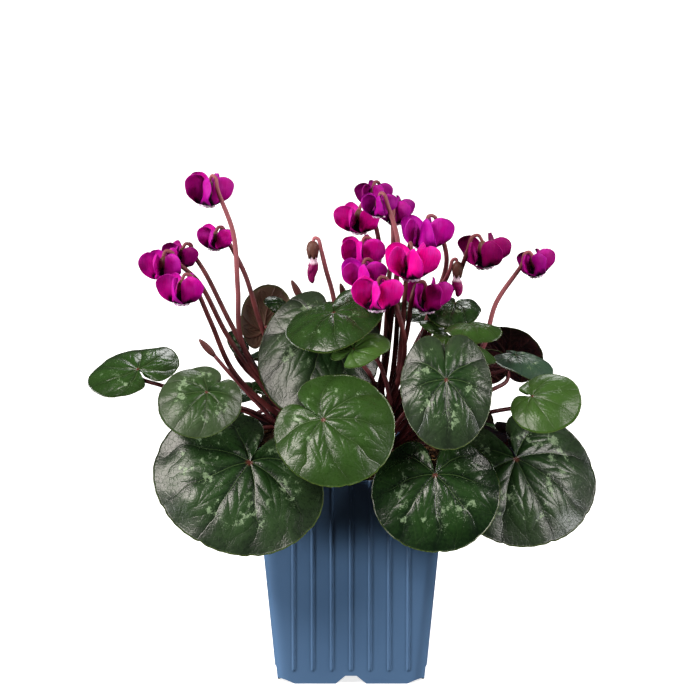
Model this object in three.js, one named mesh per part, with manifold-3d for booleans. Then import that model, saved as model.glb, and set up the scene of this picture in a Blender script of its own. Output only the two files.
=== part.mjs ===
// Potted cyclamen in a square ribbed nursery pot: soil, a corm with its stalks, round leaves,
// reflexed flowers and hanging buds.
// Millimetres, +Z up, +X to the right of the viewed side, +Y to the back.
// The origin is the middle of the pot's underside, where its round foot stands.

import * as THREE from 'three';
import { mergeVertices } from 'three/addons/utils/BufferGeometryUtils.js';
import Module from 'manifold-3d';

const wasm = await Module();
wasm.setup();

// The gap that two touching pieces keep
const seatGap = 0.3;

// Pot: a standard 9 cm square nursery pot, about 10 cm high
const potHeight = 102;
const potTopHalf = 45;
const potFootHalf = 34.6;
const potWall = 1.2;
const potCornerRadius = 6;
const cornerSteps = 3;
const ribCount = 7;
const ribPitch = 9;
const ribHalfWidth = 1;
const ribHeight = 0.6;
const ribStart = 6;
const ribRunOut = 1.2;
const basePanelUnder = 4;
const basePanelTop = 5.4;
const centreFootRadius = 10;
const drainRadius = 4;
const drainOffset = 20;
const notchHalfTop = 2.6;
const notchHalfBottom = 7.2;
const notchHeight = 4;
const cornerCutInner = 26.5;

// Soil: fills the pot to the rim and heaps up at the back left
const soilBottom = basePanelTop + seatGap;
const soilLevel = potHeight - 1.8;
const soilSteps = 11;
const heapCentre = [-33, 30];
const heapHeight = 13;
const heapSpread = 15;
const crumbHeight = 0.5;

// Corm: a flat round tuber whose crown shows at the soil surface
const cormCentre = [5, 0];
const cormRadius = 20;
const cormBottom = potHeight - 12;
const cormTop = potHeight + 1;

// Stalks
const stalkSides = 5;
const petioleRadius = 1.1;
const flowerStalkRadius = 0.95;
const rootDepth = potHeight - 6;
const rootGather = 0.7;
const turnForPoint = THREE.MathUtils.degToRad(20);

// Leaf blades
const bladeThickness = 0.8;
const leafSectors = 16;
const leafRings = 2;

// Flowers: five petals bent back from the mouth of a short tube
const petalThickness = 0.7;
const tubeSides = 5;
const tubeTop = 7.2;
const calyxTop = 10.4;
const calyxRadius = 2.3;

// Leaves.  joint: where the petiole meets the blade; tip: the far end of the midrib; face: the way
// the upper side looks; back: how far the two base lobes reach behind the joint (0 far, 1 not at
// all); wide: width over length; sinus: half angle of the slot between the lobes, degrees;
// arch: rise of the midrib; roll: drop of both sides; fold: V fold along the midrib (minus is a
// roof); skew: twist of the blade; root: place on the corm; via: points that the petiole passes.
const leaves = [
  { joint: [-100, -12, 45], tip: [-113, 10, 46], face: [-0.2, -0.24, 0.95], wide: 1.15, roll: 3,
    root: [-8, -2], via: [[-24, -10, 13], [-56, -14, 28], [-88, -15, 38]] },
  { joint: [-67, -46, 43], tip: [-83.5, -59, 28.5], face: [-0.1, -0.8, 0.6], back: 0.25, arch: 1.5,
    wide: 0.93, sinus: 5, root: [-8, -6], via: [[-22, -20, 12], [-46, -32, 30]] },
  { joint: [-47, -52, 11], tip: [-70, -73, -22], face: [0, -0.75, 0.66], back: 0.33, wide: 1.22,
    root: [-6, -8], via: [[-24, -28, 10]] },
  { joint: [-13, -62, 34], tip: [14, -74, 15], face: [-0.1, -0.8, 0.6], back: 0.25, sinus: 4,
    root: [0, -9], via: [[-4, -26, 14], [-8, -46, 27]] },
  { joint: [-12, -10, 64], tip: [-24, -36, 29], face: [-0.05, -0.8, 0.58], back: 0.33, wide: 0.84,
    arch: 0, root: [-4, -5], via: [[-10, -9, 20], [-12, -8, 46]] },
  { joint: [-8, -24, 75.5], tip: [-6, -49, 64.5], face: [-0.28, -0.52, 0.8], back: 0.06,
    wide: 0.95, sinus: 5, root: [6, -8], via: [[18, -21, 26], [13, -25, 52], [0, -23, 67]] },
  { joint: [1, -43, 62.5], tip: [16, -30, 65.5], face: [-0.1, -0.3, 0.95], back: 0.3, wide: 0.8,
    root: [6, -8], via: [[14, -26, 24], [9, -41, 50]] },
  { joint: [44, -58, 52], tip: [45, -72, 22], face: [0, -0.9, 0.42], back: 0.12, wide: 0.72,
    root: [10, -9], via: [[20, -24, 20], [36, -42, 45]] },
  { joint: [39, -56, 6], tip: [41, -72, -27], face: [0, -0.9, 0.43], back: 0.3, wide: 1.06,
    root: [12, -10], via: [[24, -32, 10]] },
  { joint: [77, -35, 8], tip: [94, -54, -27], face: [0.3, -0.8, 0.5], back: 0.25, fold: -4,
    wide: 1.08, root: [18, -6], via: [[34, -16, 10], [58, -26, 13]] },
  { joint: [84, -50, 42], tip: [105, -58, 35], face: [0.2, -0.7, 0.65], back: 0.45, wide: 1.08,
    sinus: 4, root: [16, -6], via: [[40, -20, 20], [66, -36, 31]] },
  { joint: [77, -20, 54], tip: [92, -34, 46], face: [0.22, -0.29, 0.92], back: 0.35, wide: 0.7,
    root: [18, -2], via: [[36, -10, 26], [60, -16, 42]] },
  { joint: [74, 14, 46], tip: [75.5, -2, 63], face: [0.25, 0.72, 0.64], back: 0.2, wide: 0.9,
    root: [20, 4], via: [[42, 4, 18], [66, 4, 31], [74, 9, 35]] },
  { joint: [56, -28, 71], tip: [61, -44, 66], face: [0.15, -0.45, 0.88], back: 0.3,
    root: [14, -3], via: [[26, -8, 28], [50, -10, 61]] },
  { joint: [49, -5, 75.5], tip: [46, -20, 67], face: [-0.1, -0.6, 0.8], back: 0.3, wide: 0.95,
    root: [12, 0], via: [[22, -2, 30], [44, 3, 60]] },
  { joint: [54, -27, 62], tip: [51, -49, 59], face: [0.33, -0.35, 0.88], back: 0.2, wide: 0.86,
    root: [12, -6], via: [[26, -14, 22], [44, -20, 50]] },
  { joint: [63, 2, 43], tip: [64, -8, 55], face: [0.1, 0.75, 0.65], back: 0.3, wide: 0.95,
    root: [18, 1], via: [[32, 2, 16], [54, 2, 32]] },
  { joint: [-41, 18, 57], tip: [-37, 23, 78], face: [-0.25, 0.93, 0.1], back: 0.3, wide: 0.8,
    root: [-6, 2], via: [[-16, 6, 18], [-37, 8, 41], [-40, 11, 52]] },
  { joint: [-29, 11, 68.5], tip: [-41, 6, 73.5], face: [0.15, -0.45, 0.88], back: 0.25, wide: 0.64,
    root: [-5, 4], via: [[-12, 8, 24], [-24, 11, 54]] },
  { joint: [-51, 9, 51], tip: [-58.5, 6, 57], face: [-0.1, -0.5, 0.86], back: 0.3,
    arch: 0.6, roll: 0.8,
    root: [-8, 4], via: [[-22, 8, 18], [-49, 17, 37]] },
  { joint: [44, -10, 63], tip: [32, -14, 68], face: [0.3, -0.2, 0.93], back: 0.3, wide: 0.6,
    root: [12, -4], via: [[24, -5, 26], [38, -8, 50]] },
  { joint: [38, 24, 66], tip: [32, 48, 64], face: [0, -0.05, 1], back: 0.3,
    root: [10, 7], via: [[20, 14, 26], [32, 22, 52]] },
  { joint: [-12, 54, 22], tip: [-18, 78, -8], face: [0, 0.8, 0.6], back: 0.3,
    root: [2, 9], via: [[-4, 30, 14]] },
  { joint: [38, 54, 10], tip: [46, 80, -20], face: [0.1, 0.8, 0.6], back: 0.3, wide: 0.95,
    root: [12, 10], via: [[24, 32, 11]] },
  { joint: [-58, 38, 4], tip: [-80, 52, -24], face: [-0.45, 0.6, 0.66], back: 0.3,
    root: [-6, 8], via: [[-27, 20, 14], [-42, 28, 15]] },
  { joint: [76, 30, 2], tip: [96, 44, -27], face: [0.5, 0.55, 0.66], back: 0.3,
    root: [20, 7], via: [[46, 18, 8]] },
  { joint: [-47, 22, 27], tip: [-60, 38, 23], face: [-0.3, 0.3, 0.9], back: 0.3,
    root: [-9, 6], via: [[-24, 12, 14]] },
  { joint: [-2, 42, 46], tip: [-8, 68, 36], face: [0, 0.4, 0.9], back: 0.3,
    root: [3, 8], via: [[0, 26, 24]] },
  { joint: [50, 36, 36], tip: [60, 60, 26], face: [0.2, 0.4, 0.9], back: 0.3,
    root: [14, 8], via: [[28, 20, 20]] },
  { joint: [-30, 34, 44], tip: [-38, 56, 34], face: [-0.2, 0.4, 0.9], back: 0.3,
    root: [-6, 6], via: [[-16, 20, 22]] },
  { joint: [-64, 0, 14], tip: [-85, -5, -10], face: [-0.7, 0, 0.7], back: 0.3, wide: 0.75,
    root: [-9, 2], via: [[-34, 0, 14]] },
];

// Flowers.  mouth: middle of the mouth; axis: from the mouth to the calyx; side: the compass way
// from the axis to the stalk, degrees from +X towards +Y; size: against a full flower; open: how
// far the petals spread, against a common flower; via: points that the stalk passes on its way up
// from the corm.
const flowers = [
  { mouth: [-67.3, -6, 123.6], axis: [0.1, 0, 1], side: -50, size: 1,
    root: [-7, 1], via: [[-29, -14, 23], [-51, -13, 58], [-53, -13, 85], [-55, -12, 111]] },
  { mouth: [-64.3, 4, 100], axis: [0.1, 0, 1], side: 10, size: 0.74,
    root: [-4, 3], via: [[-22, -2, 18], [-42, 0, 63], [-50, 3, 88]] },
  { mouth: [-86.8, -15, 90], axis: [-0.1, 0, 1], side: 0, size: 0.92,
    root: [-8, -3], via: [[-30, -16, 24], [-57, -12, 60], [-71, -12, 87]] },
  { mouth: [-78.5, -38, 84], axis: [0, 0, 1], side: 0, size: 0.95,
    root: [-7, -4], via: [[-30, -20, 22], [-54, -25, 46], [-65, -34, 73]] },
  { mouth: [-80, 6, 91], axis: [0.1, 0, 1], side: 0, size: 0.78,
    root: [-8, 0], via: [[-30, -6, 22], [-54, -2, 60], [-68, 4, 87]] },
  { mouth: [10.5, 27.5, 115.5], axis: [0, 0, 1], side: 46, size: 0.78,
    root: [6, 4], via: [[14, 12, 30], [18, 24, 80], [20, 34, 104]] },
  { mouth: [13, -8, 118.6], axis: [0, 0, 1], side: -40, size: 0.77, open: 1.04,
    root: [6, 0], via: [[14, -2, 30], [20, -10, 80], [22, -15, 107]] },
  { mouth: [20.8, 14, 110.2], axis: [0, 0, 1], side: -100, size: 0.82,
    root: [8, 2], via: [[18, 2, 30], [22, 0, 80], [20, 5, 100]] },
  { mouth: [3.8, 10, 106.8], axis: [0, 0, 1], side: 0, size: 0.95, open: 1.1,
    root: [4, 4], via: [[9, 6, 30], [12, 12, 80], [13.5, 12, 98]] },
  { mouth: [5, 4, 92], axis: [0, 0, 1], side: 20, size: 0.93,
    root: [2, 0], via: [[8, 0, 30], [14, 5, 70], [15, 7, 84]] },
  { mouth: [5.5, -18, 86.5], axis: [0, 0, 1], side: 30, size: 0.93,
    root: [4, -2], via: [[12, -4, 30], [18, -6, 65]] },
  { mouth: [12, -38, 81], axis: [0, 0, 1], side: 20, size: 1.05,
    root: [6, -5], via: [[18, -16, 30], [25, -34, 62]] },
  { mouth: [28.2, -26, 93], axis: [0, 0, 1], side: 100, size: 1.12,
    root: [10, -4], via: [[20, -12, 30], [24, -17, 66], [25.5, -18, 88]] },
  { mouth: [35, -1, 101.4], axis: [0, 0, 1], side: 30, size: 1.08,
    root: [10, -1], via: [[24, 2, 30], [40, 8, 75], [45, 5, 94]] },
  { mouth: [62.8, -4, 93.5], axis: [-0.1, 0, 1], side: 180, size: 1.06, open: 1.15,
    root: [14, 0], via: [[28, 2, 40], [45, 7, 74], [51, 0, 89]] },
  { mouth: [87, -8, 90], axis: [-0.2, 0, 1], side: 182, size: 0.82,
    root: [17, -1], via: [[40, -6, 30], [61, -11, 54], [68, -10, 77]] },
  { mouth: [35.5, -13, 74.2], axis: [0, 0, 1], side: 183, size: 0.98,
    root: [9, -3], via: [[18, -9, 30], [26, -12, 62]] },
];

// Buds.  top: where the bud hangs from its calyx; length: of the rolled petals; hook: width of the
// stalk's hook, against a flower's; the rest as for the flowers.
const buds = [
  { top: [-18, -4, 100], axis: [0, 0, 1], length: 15, side: 0, size: 1, hook: 0.6,
    root: [0, -2], via: [[-2, 4, 30], [-8, 4, 75], [-12, -2, 92]] },
  { top: [50, -6, 91], axis: [0, 0, 1], length: 12, side: 180, size: 0.9, hook: 0.6,
    root: [12, -2], via: [[26, 3, 34], [37, 8, 68], [42.5, 3, 81]] },
];

// Young leaves still rolled into a point on their stalks.  base and point: the ends of the roll.
const shoots = [
  { base: [-23, 6, 74], point: [-28, 6, 84], root: [-2, 0], via: [[-8, 4, 30], [-20, 6, 60]] },
  { base: [-2, 8, 72], point: [-5, 8, 82], root: [0, 3], via: [[0, 6, 30], [0, 8, 60]] },
  { base: [-64, -20, 54], point: [-71, -21, 62], root: [-7, -1],
    via: [[-30, -14, 16], [-54, -19, 42]] },
];

function vec(point) {
  return new THREE.Vector3(point[0], point[1], point[2]);
}

// A place given above the pot's rim
function place(point) {
  return new THREE.Vector3(point[0], point[1], point[2] + potHeight);
}

// Repeatable draws between 0 and 1
function seededDraws(seed) {
  let state = seed;
  return () => {
    state = (state * 16807) % 2147483647;
    return state / 2147483647;
  };
}

function smooth(t) {
  const s = Math.min(1, Math.max(0, t));
  return s * s * (3 - 2 * s);
}

// One closed solid from its points and triangles
function solidFrom(points, faces) {
  const vertProperties = new Float32Array(points.length * 3);
  points.forEach((p, i) => p.toArray(vertProperties, i * 3));
  const triVerts = new Uint32Array(faces.flat());
  return new wasm.Manifold(new wasm.Mesh({ numProp: 3, vertProperties, triVerts }));
}

// A three.js geometry as a solid: its points merged, empty triangles dropped, faces pointing out
function solidFromGeometry(geometry) {
  const bare = geometry.clone();
  bare.deleteAttribute('normal');
  bare.deleteAttribute('uv');
  const merged = mergeVertices(bare, 1e-4);
  const position = merged.attributes.position;
  const points = [];
  for (let n = 0; n < position.count; n += 1) {
    points.push(new THREE.Vector3().fromBufferAttribute(position, n));
  }
  const order = Array.from(merged.index.array);
  const faces = [];
  for (let n = 0; n < order.length; n += 3) {
    const [a, b, c] = order.slice(n, n + 3);
    if (a !== b && b !== c && c !== a) faces.push([a, b, c]);
  }
  const solid = solidFrom(points, faces);
  return solid.volume() > 0 ? solid : solidFrom(points, faces.map(([a, b, c]) => [a, c, b]));
}

function geometryFromSolid(solid) {
  const mesh = solid.getMesh();
  const geometry = new THREE.BufferGeometry();
  const corners = new Float32Array(mesh.vertProperties);
  geometry.setAttribute('position', new THREE.BufferAttribute(corners, 3));
  geometry.setIndex(new THREE.BufferAttribute(new Uint32Array(mesh.triVerts), 1));
  geometry.computeVertexNormals();
  return geometry;
}

// Join solids pair by pair
function join(solids) {
  let row = solids;
  while (row.length > 1) {
    const next = [];
    for (let i = 0; i < row.length; i += 2) {
      next.push(i + 1 < row.length ? row[i].add(row[i + 1]) : row[i]);
    }
    row = next;
  }
  return row[0];
}

// The body itself, without the closed hollows and scraps that joining can leave
function largestBody(solid) {
  const bodies = solid.decompose();
  return bodies.reduce((best, body) => (body.volume() > best.volume() ? body : best));
}

// A closed tube along points, with a radius at each point
function tubeSolid(path, radii, sides) {
  const tangents = path.map((p, i) => {
    const before = path[Math.max(0, i - 1)];
    const after = path[Math.min(path.length - 1, i + 1)];
    return after.clone().sub(before).normalize();
  });
  let side = new THREE.Vector3(0.31, 0.95, 0.05).cross(tangents[0]).normalize();
  const points = [];
  path.forEach((centre, i) => {
    side = side.sub(tangents[i].clone().multiplyScalar(side.dot(tangents[i]))).normalize();
    const up = tangents[i].clone().cross(side);
    for (let k = 0; k < sides; k += 1) {
      const angle = (2 * Math.PI * k) / sides;
      const offset = side.clone().multiplyScalar(Math.cos(angle) * radii[i]);
      offset.add(up.clone().multiplyScalar(Math.sin(angle) * radii[i]));
      points.push(centre.clone().add(offset));
    }
  });
  const faces = [];
  for (let i = 0; i + 1 < path.length; i += 1) {
    for (let k = 0; k < sides; k += 1) {
      const a = i * sides + k;
      const b = i * sides + ((k + 1) % sides);
      faces.push([a, b, b + sides], [a, b + sides, a + sides]);
    }
  }
  const last = (path.length - 1) * sides;
  for (let k = 1; k + 1 < sides; k += 1) {
    faces.push([0, k + 1, k]);
    faces.push([last, last + k, last + k + 1]);
  }
  return solidFrom(points, faces);
}

// A smooth curve through control points, kept only where it has turned enough to need a point
function sampleCurve(controls) {
  const curve = new THREE.CatmullRomCurve3(controls, false, 'centripetal');
  const count = (controls.length - 1) * 8;
  const fine = curve.getPoints(count);
  const kept = [fine[0]];
  let heading = fine[1].clone().sub(fine[0]);
  for (let n = 1; n < count; n += 1) {
    const next = fine[n + 1].clone().sub(fine[n]);
    if (next.angleTo(heading) > turnForPoint) {
      kept.push(fine[n]);
      heading = next;
    }
  }
  kept.push(fine[count]);
  return kept;
}

// A body turned about an axis through its foot, from a profile of [radius, height along the axis]
function turnedSolid(profile, sides, foot, axis) {
  const points2 = profile.map(([r, h]) => new THREE.Vector2(r, h));
  const geometry = new THREE.LatheGeometry(points2, sides);
  const turn = new THREE.Quaternion().setFromUnitVectors(new THREE.Vector3(0, 1, 0), axis);
  geometry.applyQuaternion(turn);
  geometry.translate(foot.x, foot.y, foot.z);
  return solidFromGeometry(geometry);
}

// Pot

// The outline of the pot at one height: four sides with round corners
function wallOutline(half, radius) {
  const corner = half - radius;
  const quarter = [];
  for (let n = 0; n <= cornerSteps; n += 1) {
    const angle = (Math.PI / 2) * (1 - n / cornerSteps);
    quarter.push([corner + radius * Math.cos(angle), corner + radius * Math.sin(angle)]);
  }
  return aroundFourSides(quarter);
}

// One rib on the front wall, upright while the wall leans, with a run-out at its foot
function ribSolid(middle) {
  const section = (z, rise) => {
    const face = -potHalfAt(z);
    return {
      outline: [
        [middle - ribHalfWidth, face + 0.5],
        [middle - ribHalfWidth * 0.6, face - rise],
        [middle + ribHalfWidth * 0.6, face - rise],
        [middle + ribHalfWidth, face + 0.5],
      ],
      z,
    };
  };
  return loftSolid([
    section(ribStart, -0.3),
    section(ribStart + ribRunOut, ribHeight),
    section(potHeight, ribHeight),
  ]);
}

// Repeat one side's points on the other three, in one sense of turning
function aroundFourSides(quarter) {
  const all = [];
  for (let turn = 0; turn < 4; turn += 1) {
    const cos = Math.round(Math.cos(turn * Math.PI / 2));
    const sin = Math.round(Math.sin(turn * Math.PI / 2));
    quarter.forEach(([x, y]) => all.push([x * cos + y * sin, y * cos - x * sin]));
  }
  return all.reverse();
}

// A solid through outlines that all have the same number of points, from the bottom up
function loftSolid(levels) {
  const count = levels[0].outline.length;
  const points = [];
  for (const { outline, z } of levels) {
    outline.forEach(([x, y]) => points.push(new THREE.Vector3(x, y, z)));
  }
  const faces = [];
  for (let i = 0; i + 1 < levels.length; i += 1) {
    for (let k = 0; k < count; k += 1) {
      const a = i * count + k;
      const b = i * count + ((k + 1) % count);
      faces.push([a, b, b + count], [a, b + count, a + count]);
    }
  }
  const flat = levels[0].outline.map(([x, y]) => new THREE.Vector2(x, y));
  const top = levels[levels.length - 1].outline.map(([x, y]) => new THREE.Vector2(x, y));
  const shift = (levels.length - 1) * count;
  const under = THREE.ShapeUtils.triangulateShape(flat, []);
  const over = THREE.ShapeUtils.triangulateShape(top, []);
  under.forEach(([a, b, c]) => faces.push([a, c, b]));
  over.forEach(([a, b, c]) => faces.push([a + shift, b + shift, c + shift]));
  return solidFrom(points, faces);
}

// The same solid turned about the pot's upright middle line
function turned(solid, angle) {
  const geometry = geometryFromSolid(solid);
  geometry.rotateZ(angle);
  return solidFromGeometry(geometry);
}

function potHalfAt(z) {
  return potFootHalf + ((potTopHalf - ribHeight - potFootHalf) * z) / potHeight;
}

function cylinderSolid(radius, from, to, x, y, sides) {
  const geometry = new THREE.CylinderGeometry(radius, radius, to - from, sides);
  geometry.rotateX(Math.PI / 2);
  geometry.translate(x, y, (from + to) / 2);
  return solidFromGeometry(geometry);
}

// A prism whose outline lies in the XZ plane, right through the pot along Y, turned about Z
function prismAcross(outline, turn) {
  const reach = 2 * potTopHalf + 10;
  const shape = new THREE.Shape(outline.map(([x, z]) => new THREE.Vector2(x, z)));
  const geometry = new THREE.ExtrudeGeometry(shape, { depth: reach, bevelEnabled: false });
  geometry.rotateX(Math.PI / 2);
  geometry.translate(0, reach / 2, 0);
  geometry.rotateZ(turn);
  return solidFromGeometry(geometry);
}

function makePot() {
  const wallAt = (z, inset) => ({
    outline: wallOutline(potHalfAt(z) - inset, potCornerRadius - inset),
    z,
  });
  const ribs = [];
  for (let n = 0; n < ribCount; n += 1) {
    const rib = ribSolid((n - (ribCount - 1) / 2) * ribPitch);
    for (let turn = 0; turn < 4; turn += 1) ribs.push(turned(rib, (turn * Math.PI) / 2));
  }
  const outer = join([loftSolid([wallAt(0, 0), wallAt(potHeight, 0)]), ...ribs]);
  const inside = loftSolid([wallAt(basePanelTop, potWall), wallAt(potHeight + 1, potWall)]);
  const centreFoot = cylinderSolid(centreFootRadius, -2, basePanelUnder + 1, 0, 0, 20);
  const hollow = loftSolid([wallAt(-1, potWall), wallAt(basePanelUnder, potWall)]);
  const under = hollow.subtract(centreFoot);
  const notch = [
    [-notchHalfBottom, -1],
    [notchHalfBottom, -1],
    [notchHalfBottom, 0],
    [notchHalfTop, notchHeight],
    [-notchHalfTop, notchHeight],
    [-notchHalfBottom, 0],
  ];
  // The skirt rises to its four corners along one slanted plane at each
  const cutFrom = (potFootHalf + cornerCutInner) / Math.SQRT2;
  const cutTo = (2 * potFootHalf) / Math.SQRT2;
  const cornerCut = [
    [cutFrom, 0],
    [cutTo, notchHeight],
    [cutTo + 9, notchHeight],
    [cutTo + 9, -1],
    [cutFrom, -1],
  ];
  let body = outer.subtract(inside).subtract(under);
  for (const turn of [0, Math.PI / 2]) {
    body = body.subtract(prismAcross(notch, turn).subtract(centreFoot));
  }
  for (const turn of [1, 3, 5, 7]) {
    body = body.subtract(prismAcross(cornerCut, (turn * Math.PI) / 4));
  }
  for (const x of [-drainOffset, drainOffset]) {
    for (const y of [-drainOffset, drainOffset]) {
      body = body.subtract(cylinderSolid(drainRadius, 0, 8, x, y, 10));
    }
  }
  return body;
}

// Soil

// The soil's surface: level crumbs, a heap at the back left and a dip round the corm
function soilHeight(x, y) {
  const crumbs = Math.sin(0.71 * x + 1.3) * Math.sin(0.63 * y - 0.4) + 0.6 * Math.sin(1.37 * x - 0.9 * y);
  const away = Math.hypot(x - heapCentre[0], y - heapCentre[1]) / heapSpread;
  const fromWall = potTopHalf - potWall - Math.max(Math.abs(x), Math.abs(y));
  const heap = heapHeight * Math.exp(-away * away) * (0.5 + 0.5 * smooth(fromWall / 9));
  return soilLevel + crumbHeight * crumbs + heap;
}

function makeSoil() {
  const halfAt = (z) => potHalfAt(z) - potWall - seatGap;
  const radius = potCornerRadius - potWall;
  const topHalf = halfAt(soilLevel);
  const points = [];
  const faces = [];
  const stride = soilSteps + 1;
  const bottomHalf = halfAt(soilBottom);
  // A square grid is drawn in at its corners to follow the pot's round corners
  const gridPoint = (u, v, half) => {
    const inset = radius * 0.32 * (Math.abs(u) * Math.abs(v)) ** 6;
    return [u * (half - inset), v * (half - inset)];
  };
  for (const level of ['top', 'bottom']) {
    for (let j = 0; j <= soilSteps; j += 1) {
      for (let i = 0; i <= soilSteps; i += 1) {
        const u = (2 * i) / soilSteps - 1;
        const v = (2 * j) / soilSteps - 1;
        const onTop = level === 'top';
        const [x, y] = gridPoint(u, v, onTop ? topHalf : bottomHalf);
        points.push(new THREE.Vector3(x, y, onTop ? soilHeight(x, y) : soilBottom));
      }
    }
  }
  const lower = stride * stride;
  for (let j = 0; j < soilSteps; j += 1) {
    for (let i = 0; i < soilSteps; i += 1) {
      const a = j * stride + i;
      faces.push([a, a + 1, a + stride + 1], [a, a + stride + 1, a + stride]);
    }
  }
  const rim = [];
  for (let i = 0; i < soilSteps; i += 1) rim.push(i);
  for (let j = 0; j < soilSteps; j += 1) rim.push(j * stride + soilSteps);
  for (let i = soilSteps; i > 0; i -= 1) rim.push(soilSteps * stride + i);
  for (let j = soilSteps; j > 0; j -= 1) rim.push(j * stride);
  // The underside is one flat fan over the rim points
  const hub = points.length;
  points.push(new THREE.Vector3(0, 0, soilBottom));
  rim.forEach((a, n) => {
    const b = rim[(n + 1) % rim.length];
    faces.push([a, a + lower, b + lower], [a, b + lower, b]);
    faces.push([hub, b + lower, a + lower]);
  });
  return compact(points, faces);
}

// Drop the points that no triangle uses, then make the solid
function compact(points, faces) {
  const used = new Map();
  const kept = [];
  const renumbered = faces.map((face) => face.map((n) => {
    if (!used.has(n)) {
      used.set(n, kept.length);
      kept.push(points[n]);
    }
    return used.get(n);
  }));
  return solidFrom(kept, renumbered);
}

function cormProfile(grow) {
  return [
    [0, cormBottom - grow],
    [cormRadius * 0.55, cormBottom - grow],
    [cormRadius + grow, cormBottom + 5],
    [cormRadius * 0.82 + grow, cormTop - 3.4 + grow],
    [cormRadius * 0.4, cormTop + grow],
    [0, cormTop + grow],
  ];
}

function makeCorm(grow) {
  const foot = new THREE.Vector3(cormCentre[0], cormCentre[1], 0);
  return turnedSolid(cormProfile(grow), 12, foot, new THREE.Vector3(0, 0, 1));
}

// Leaves

// The leaf's own axes: along the midrib, across it, and out of its upper side
function leafAxes(leaf) {
  const joint = place(leaf.joint);
  const along = place(leaf.tip).sub(joint);
  const length = along.length();
  along.normalize();
  const out = vec(leaf.face);
  out.sub(along.clone().multiplyScalar(out.dot(along))).normalize();
  const across = out.clone().cross(along);
  return { joint, along, out, across, length };
}

// The angle from the midrib where the slot between the base lobes begins
function slotLimit(leaf) {
  return Math.PI - THREE.MathUtils.degToRad(leaf.sinus ?? 9);
}

// Distance from the joint to the margin at an angle from the midrib: an ellipse that holds the
// joint inside it, drawn in to the joint along the slot between the base lobes
function marginRadius(leaf, length, angle) {
  const back = leaf.back ?? 0.3;
  const half = length / (1 + back);
  const k = Math.sin(angle) / (leaf.wide ?? 1);
  const c = Math.cos(angle);
  const q = c * c + k * k;
  const root = Math.sqrt(back * back * c * c - q * (back * back - 1));
  const ellipse = (half * (back * c + root)) / q;
  const limit = slotLimit(leaf);
  const rounding = Math.sqrt(Math.max(0, 1 - (Math.abs(angle) / limit) ** 16));
  return ellipse * (0.12 + 0.88 * rounding);
}

// A point of the blade's middle surface, from its place along and across
function bladePoint(leaf, axes, a, b) {
  const reach = axes.length;
  const half = (reach / (1 + (leaf.back ?? 0.3))) * (leaf.wide ?? 1);
  const arch = leaf.arch ?? 2;
  const slope = (4 * arch * a) / reach;
  const rise = a < 0 ? slope : slope * (1 - a / reach);
  const side = b / half;
  const drop = (leaf.roll ?? 2) * side * side;
  const crease = (leaf.fold ?? 0) * (Math.sqrt(side * side + 0.02) - Math.sqrt(0.02));
  const turn = (leaf.skew ?? 0) * side * (a / reach);
  const height = rise - drop + crease + turn;
  return axes.joint.clone()
    .add(axes.along.clone().multiplyScalar(a))
    .add(axes.across.clone().multiplyScalar(b))
    .add(axes.out.clone().multiplyScalar(height));
}

function makeLeaf(leaf) {
  const axes = leafAxes(leaf);
  const limit = slotLimit(leaf);
  const middle = [axes.joint.clone()];
  for (let ring = 1; ring <= leafRings; ring += 1) {
    const share = (ring / leafRings) ** 0.8;
    for (let n = 0; n <= leafSectors; n += 1) {
      const u = (2 * n) / leafSectors - 1;
      const angle = limit * Math.sign(u) * (1 - (1 - Math.abs(u)) ** 1.3) * 0.998;
      const r = share * marginRadius(leaf, axes.length, angle);
      middle.push(bladePoint(leaf, axes, r * Math.cos(angle), r * Math.sin(angle)));
    }
  }
  const stride = leafSectors + 1;
  const at = (ring, n) => 1 + (ring - 1) * stride + n;
  const faces = [];
  for (let n = 0; n < leafSectors; n += 1) {
    faces.push([0, at(1, n), at(1, n + 1)]);
    for (let ring = 1; ring < leafRings; ring += 1) {
      faces.push([at(ring, n), at(ring + 1, n), at(ring + 1, n + 1)]);
      faces.push([at(ring, n), at(ring + 1, n + 1), at(ring, n + 1)]);
    }
  }
  const rim = [0];
  for (let ring = 1; ring < leafRings; ring += 1) rim.push(at(ring, 0));
  for (let n = 0; n <= leafSectors; n += 1) rim.push(at(leafRings, n));
  for (let ring = leafRings - 1; ring > 0; ring -= 1) rim.push(at(ring, leafSectors));
  return thickened(middle, faces, rim, bladeThickness);
}

// A sheet given thickness on both sides, split into triangles alike on both faces
function thickened(middle, faces, rim, thickness) {
  const normals = middle.map(() => new THREE.Vector3());
  faces.forEach(([a, b, c]) => {
    const edge = middle[b].clone().sub(middle[a]);
    const normal = edge.cross(middle[c].clone().sub(middle[a]));
    [a, b, c].forEach((n) => normals[n].add(normal));
  });
  const half = thickness / 2;
  const upper = middle.map((p, n) => p.clone().add(normals[n].clone().setLength(half)));
  const lower = middle.map((p, n) => p.clone().sub(normals[n].clone().setLength(half)));
  const shift = middle.length;
  const all = [...faces];
  faces.forEach(([a, b, c]) => all.push([a + shift, c + shift, b + shift]));
  rim.forEach((a, n) => {
    const b = rim[(n + 1) % rim.length];
    all.push([a, a + shift, b + shift], [a, b + shift, b]);
  });
  return solidFrom([...upper, ...lower], all);
}

// Where the petiole ends: just under the blade at its joint
function petioleEnd(leaf) {
  const axes = leafAxes(leaf);
  const slope = (4 * (leaf.arch ?? 2)) / axes.length;
  const out = axes.out.clone().sub(axes.along.clone().multiplyScalar(slope)).normalize();
  const gap = bladeThickness / 2 + seatGap + 0.05;
  return [
    axes.joint.clone().sub(out.clone().multiplyScalar(4.5)),
    axes.joint.clone().sub(out.clone().multiplyScalar(gap)),
  ];
}

// Stalks

function rootPoint(root) {
  const x = cormCentre[0] + (root[0] - cormCentre[0]) * rootGather;
  return new THREE.Vector3(x, root[1] * rootGather, rootDepth);
}

function riseFrom(root) {
  return new THREE.Vector3(root[0], root[1], cormTop + 1);
}

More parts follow.
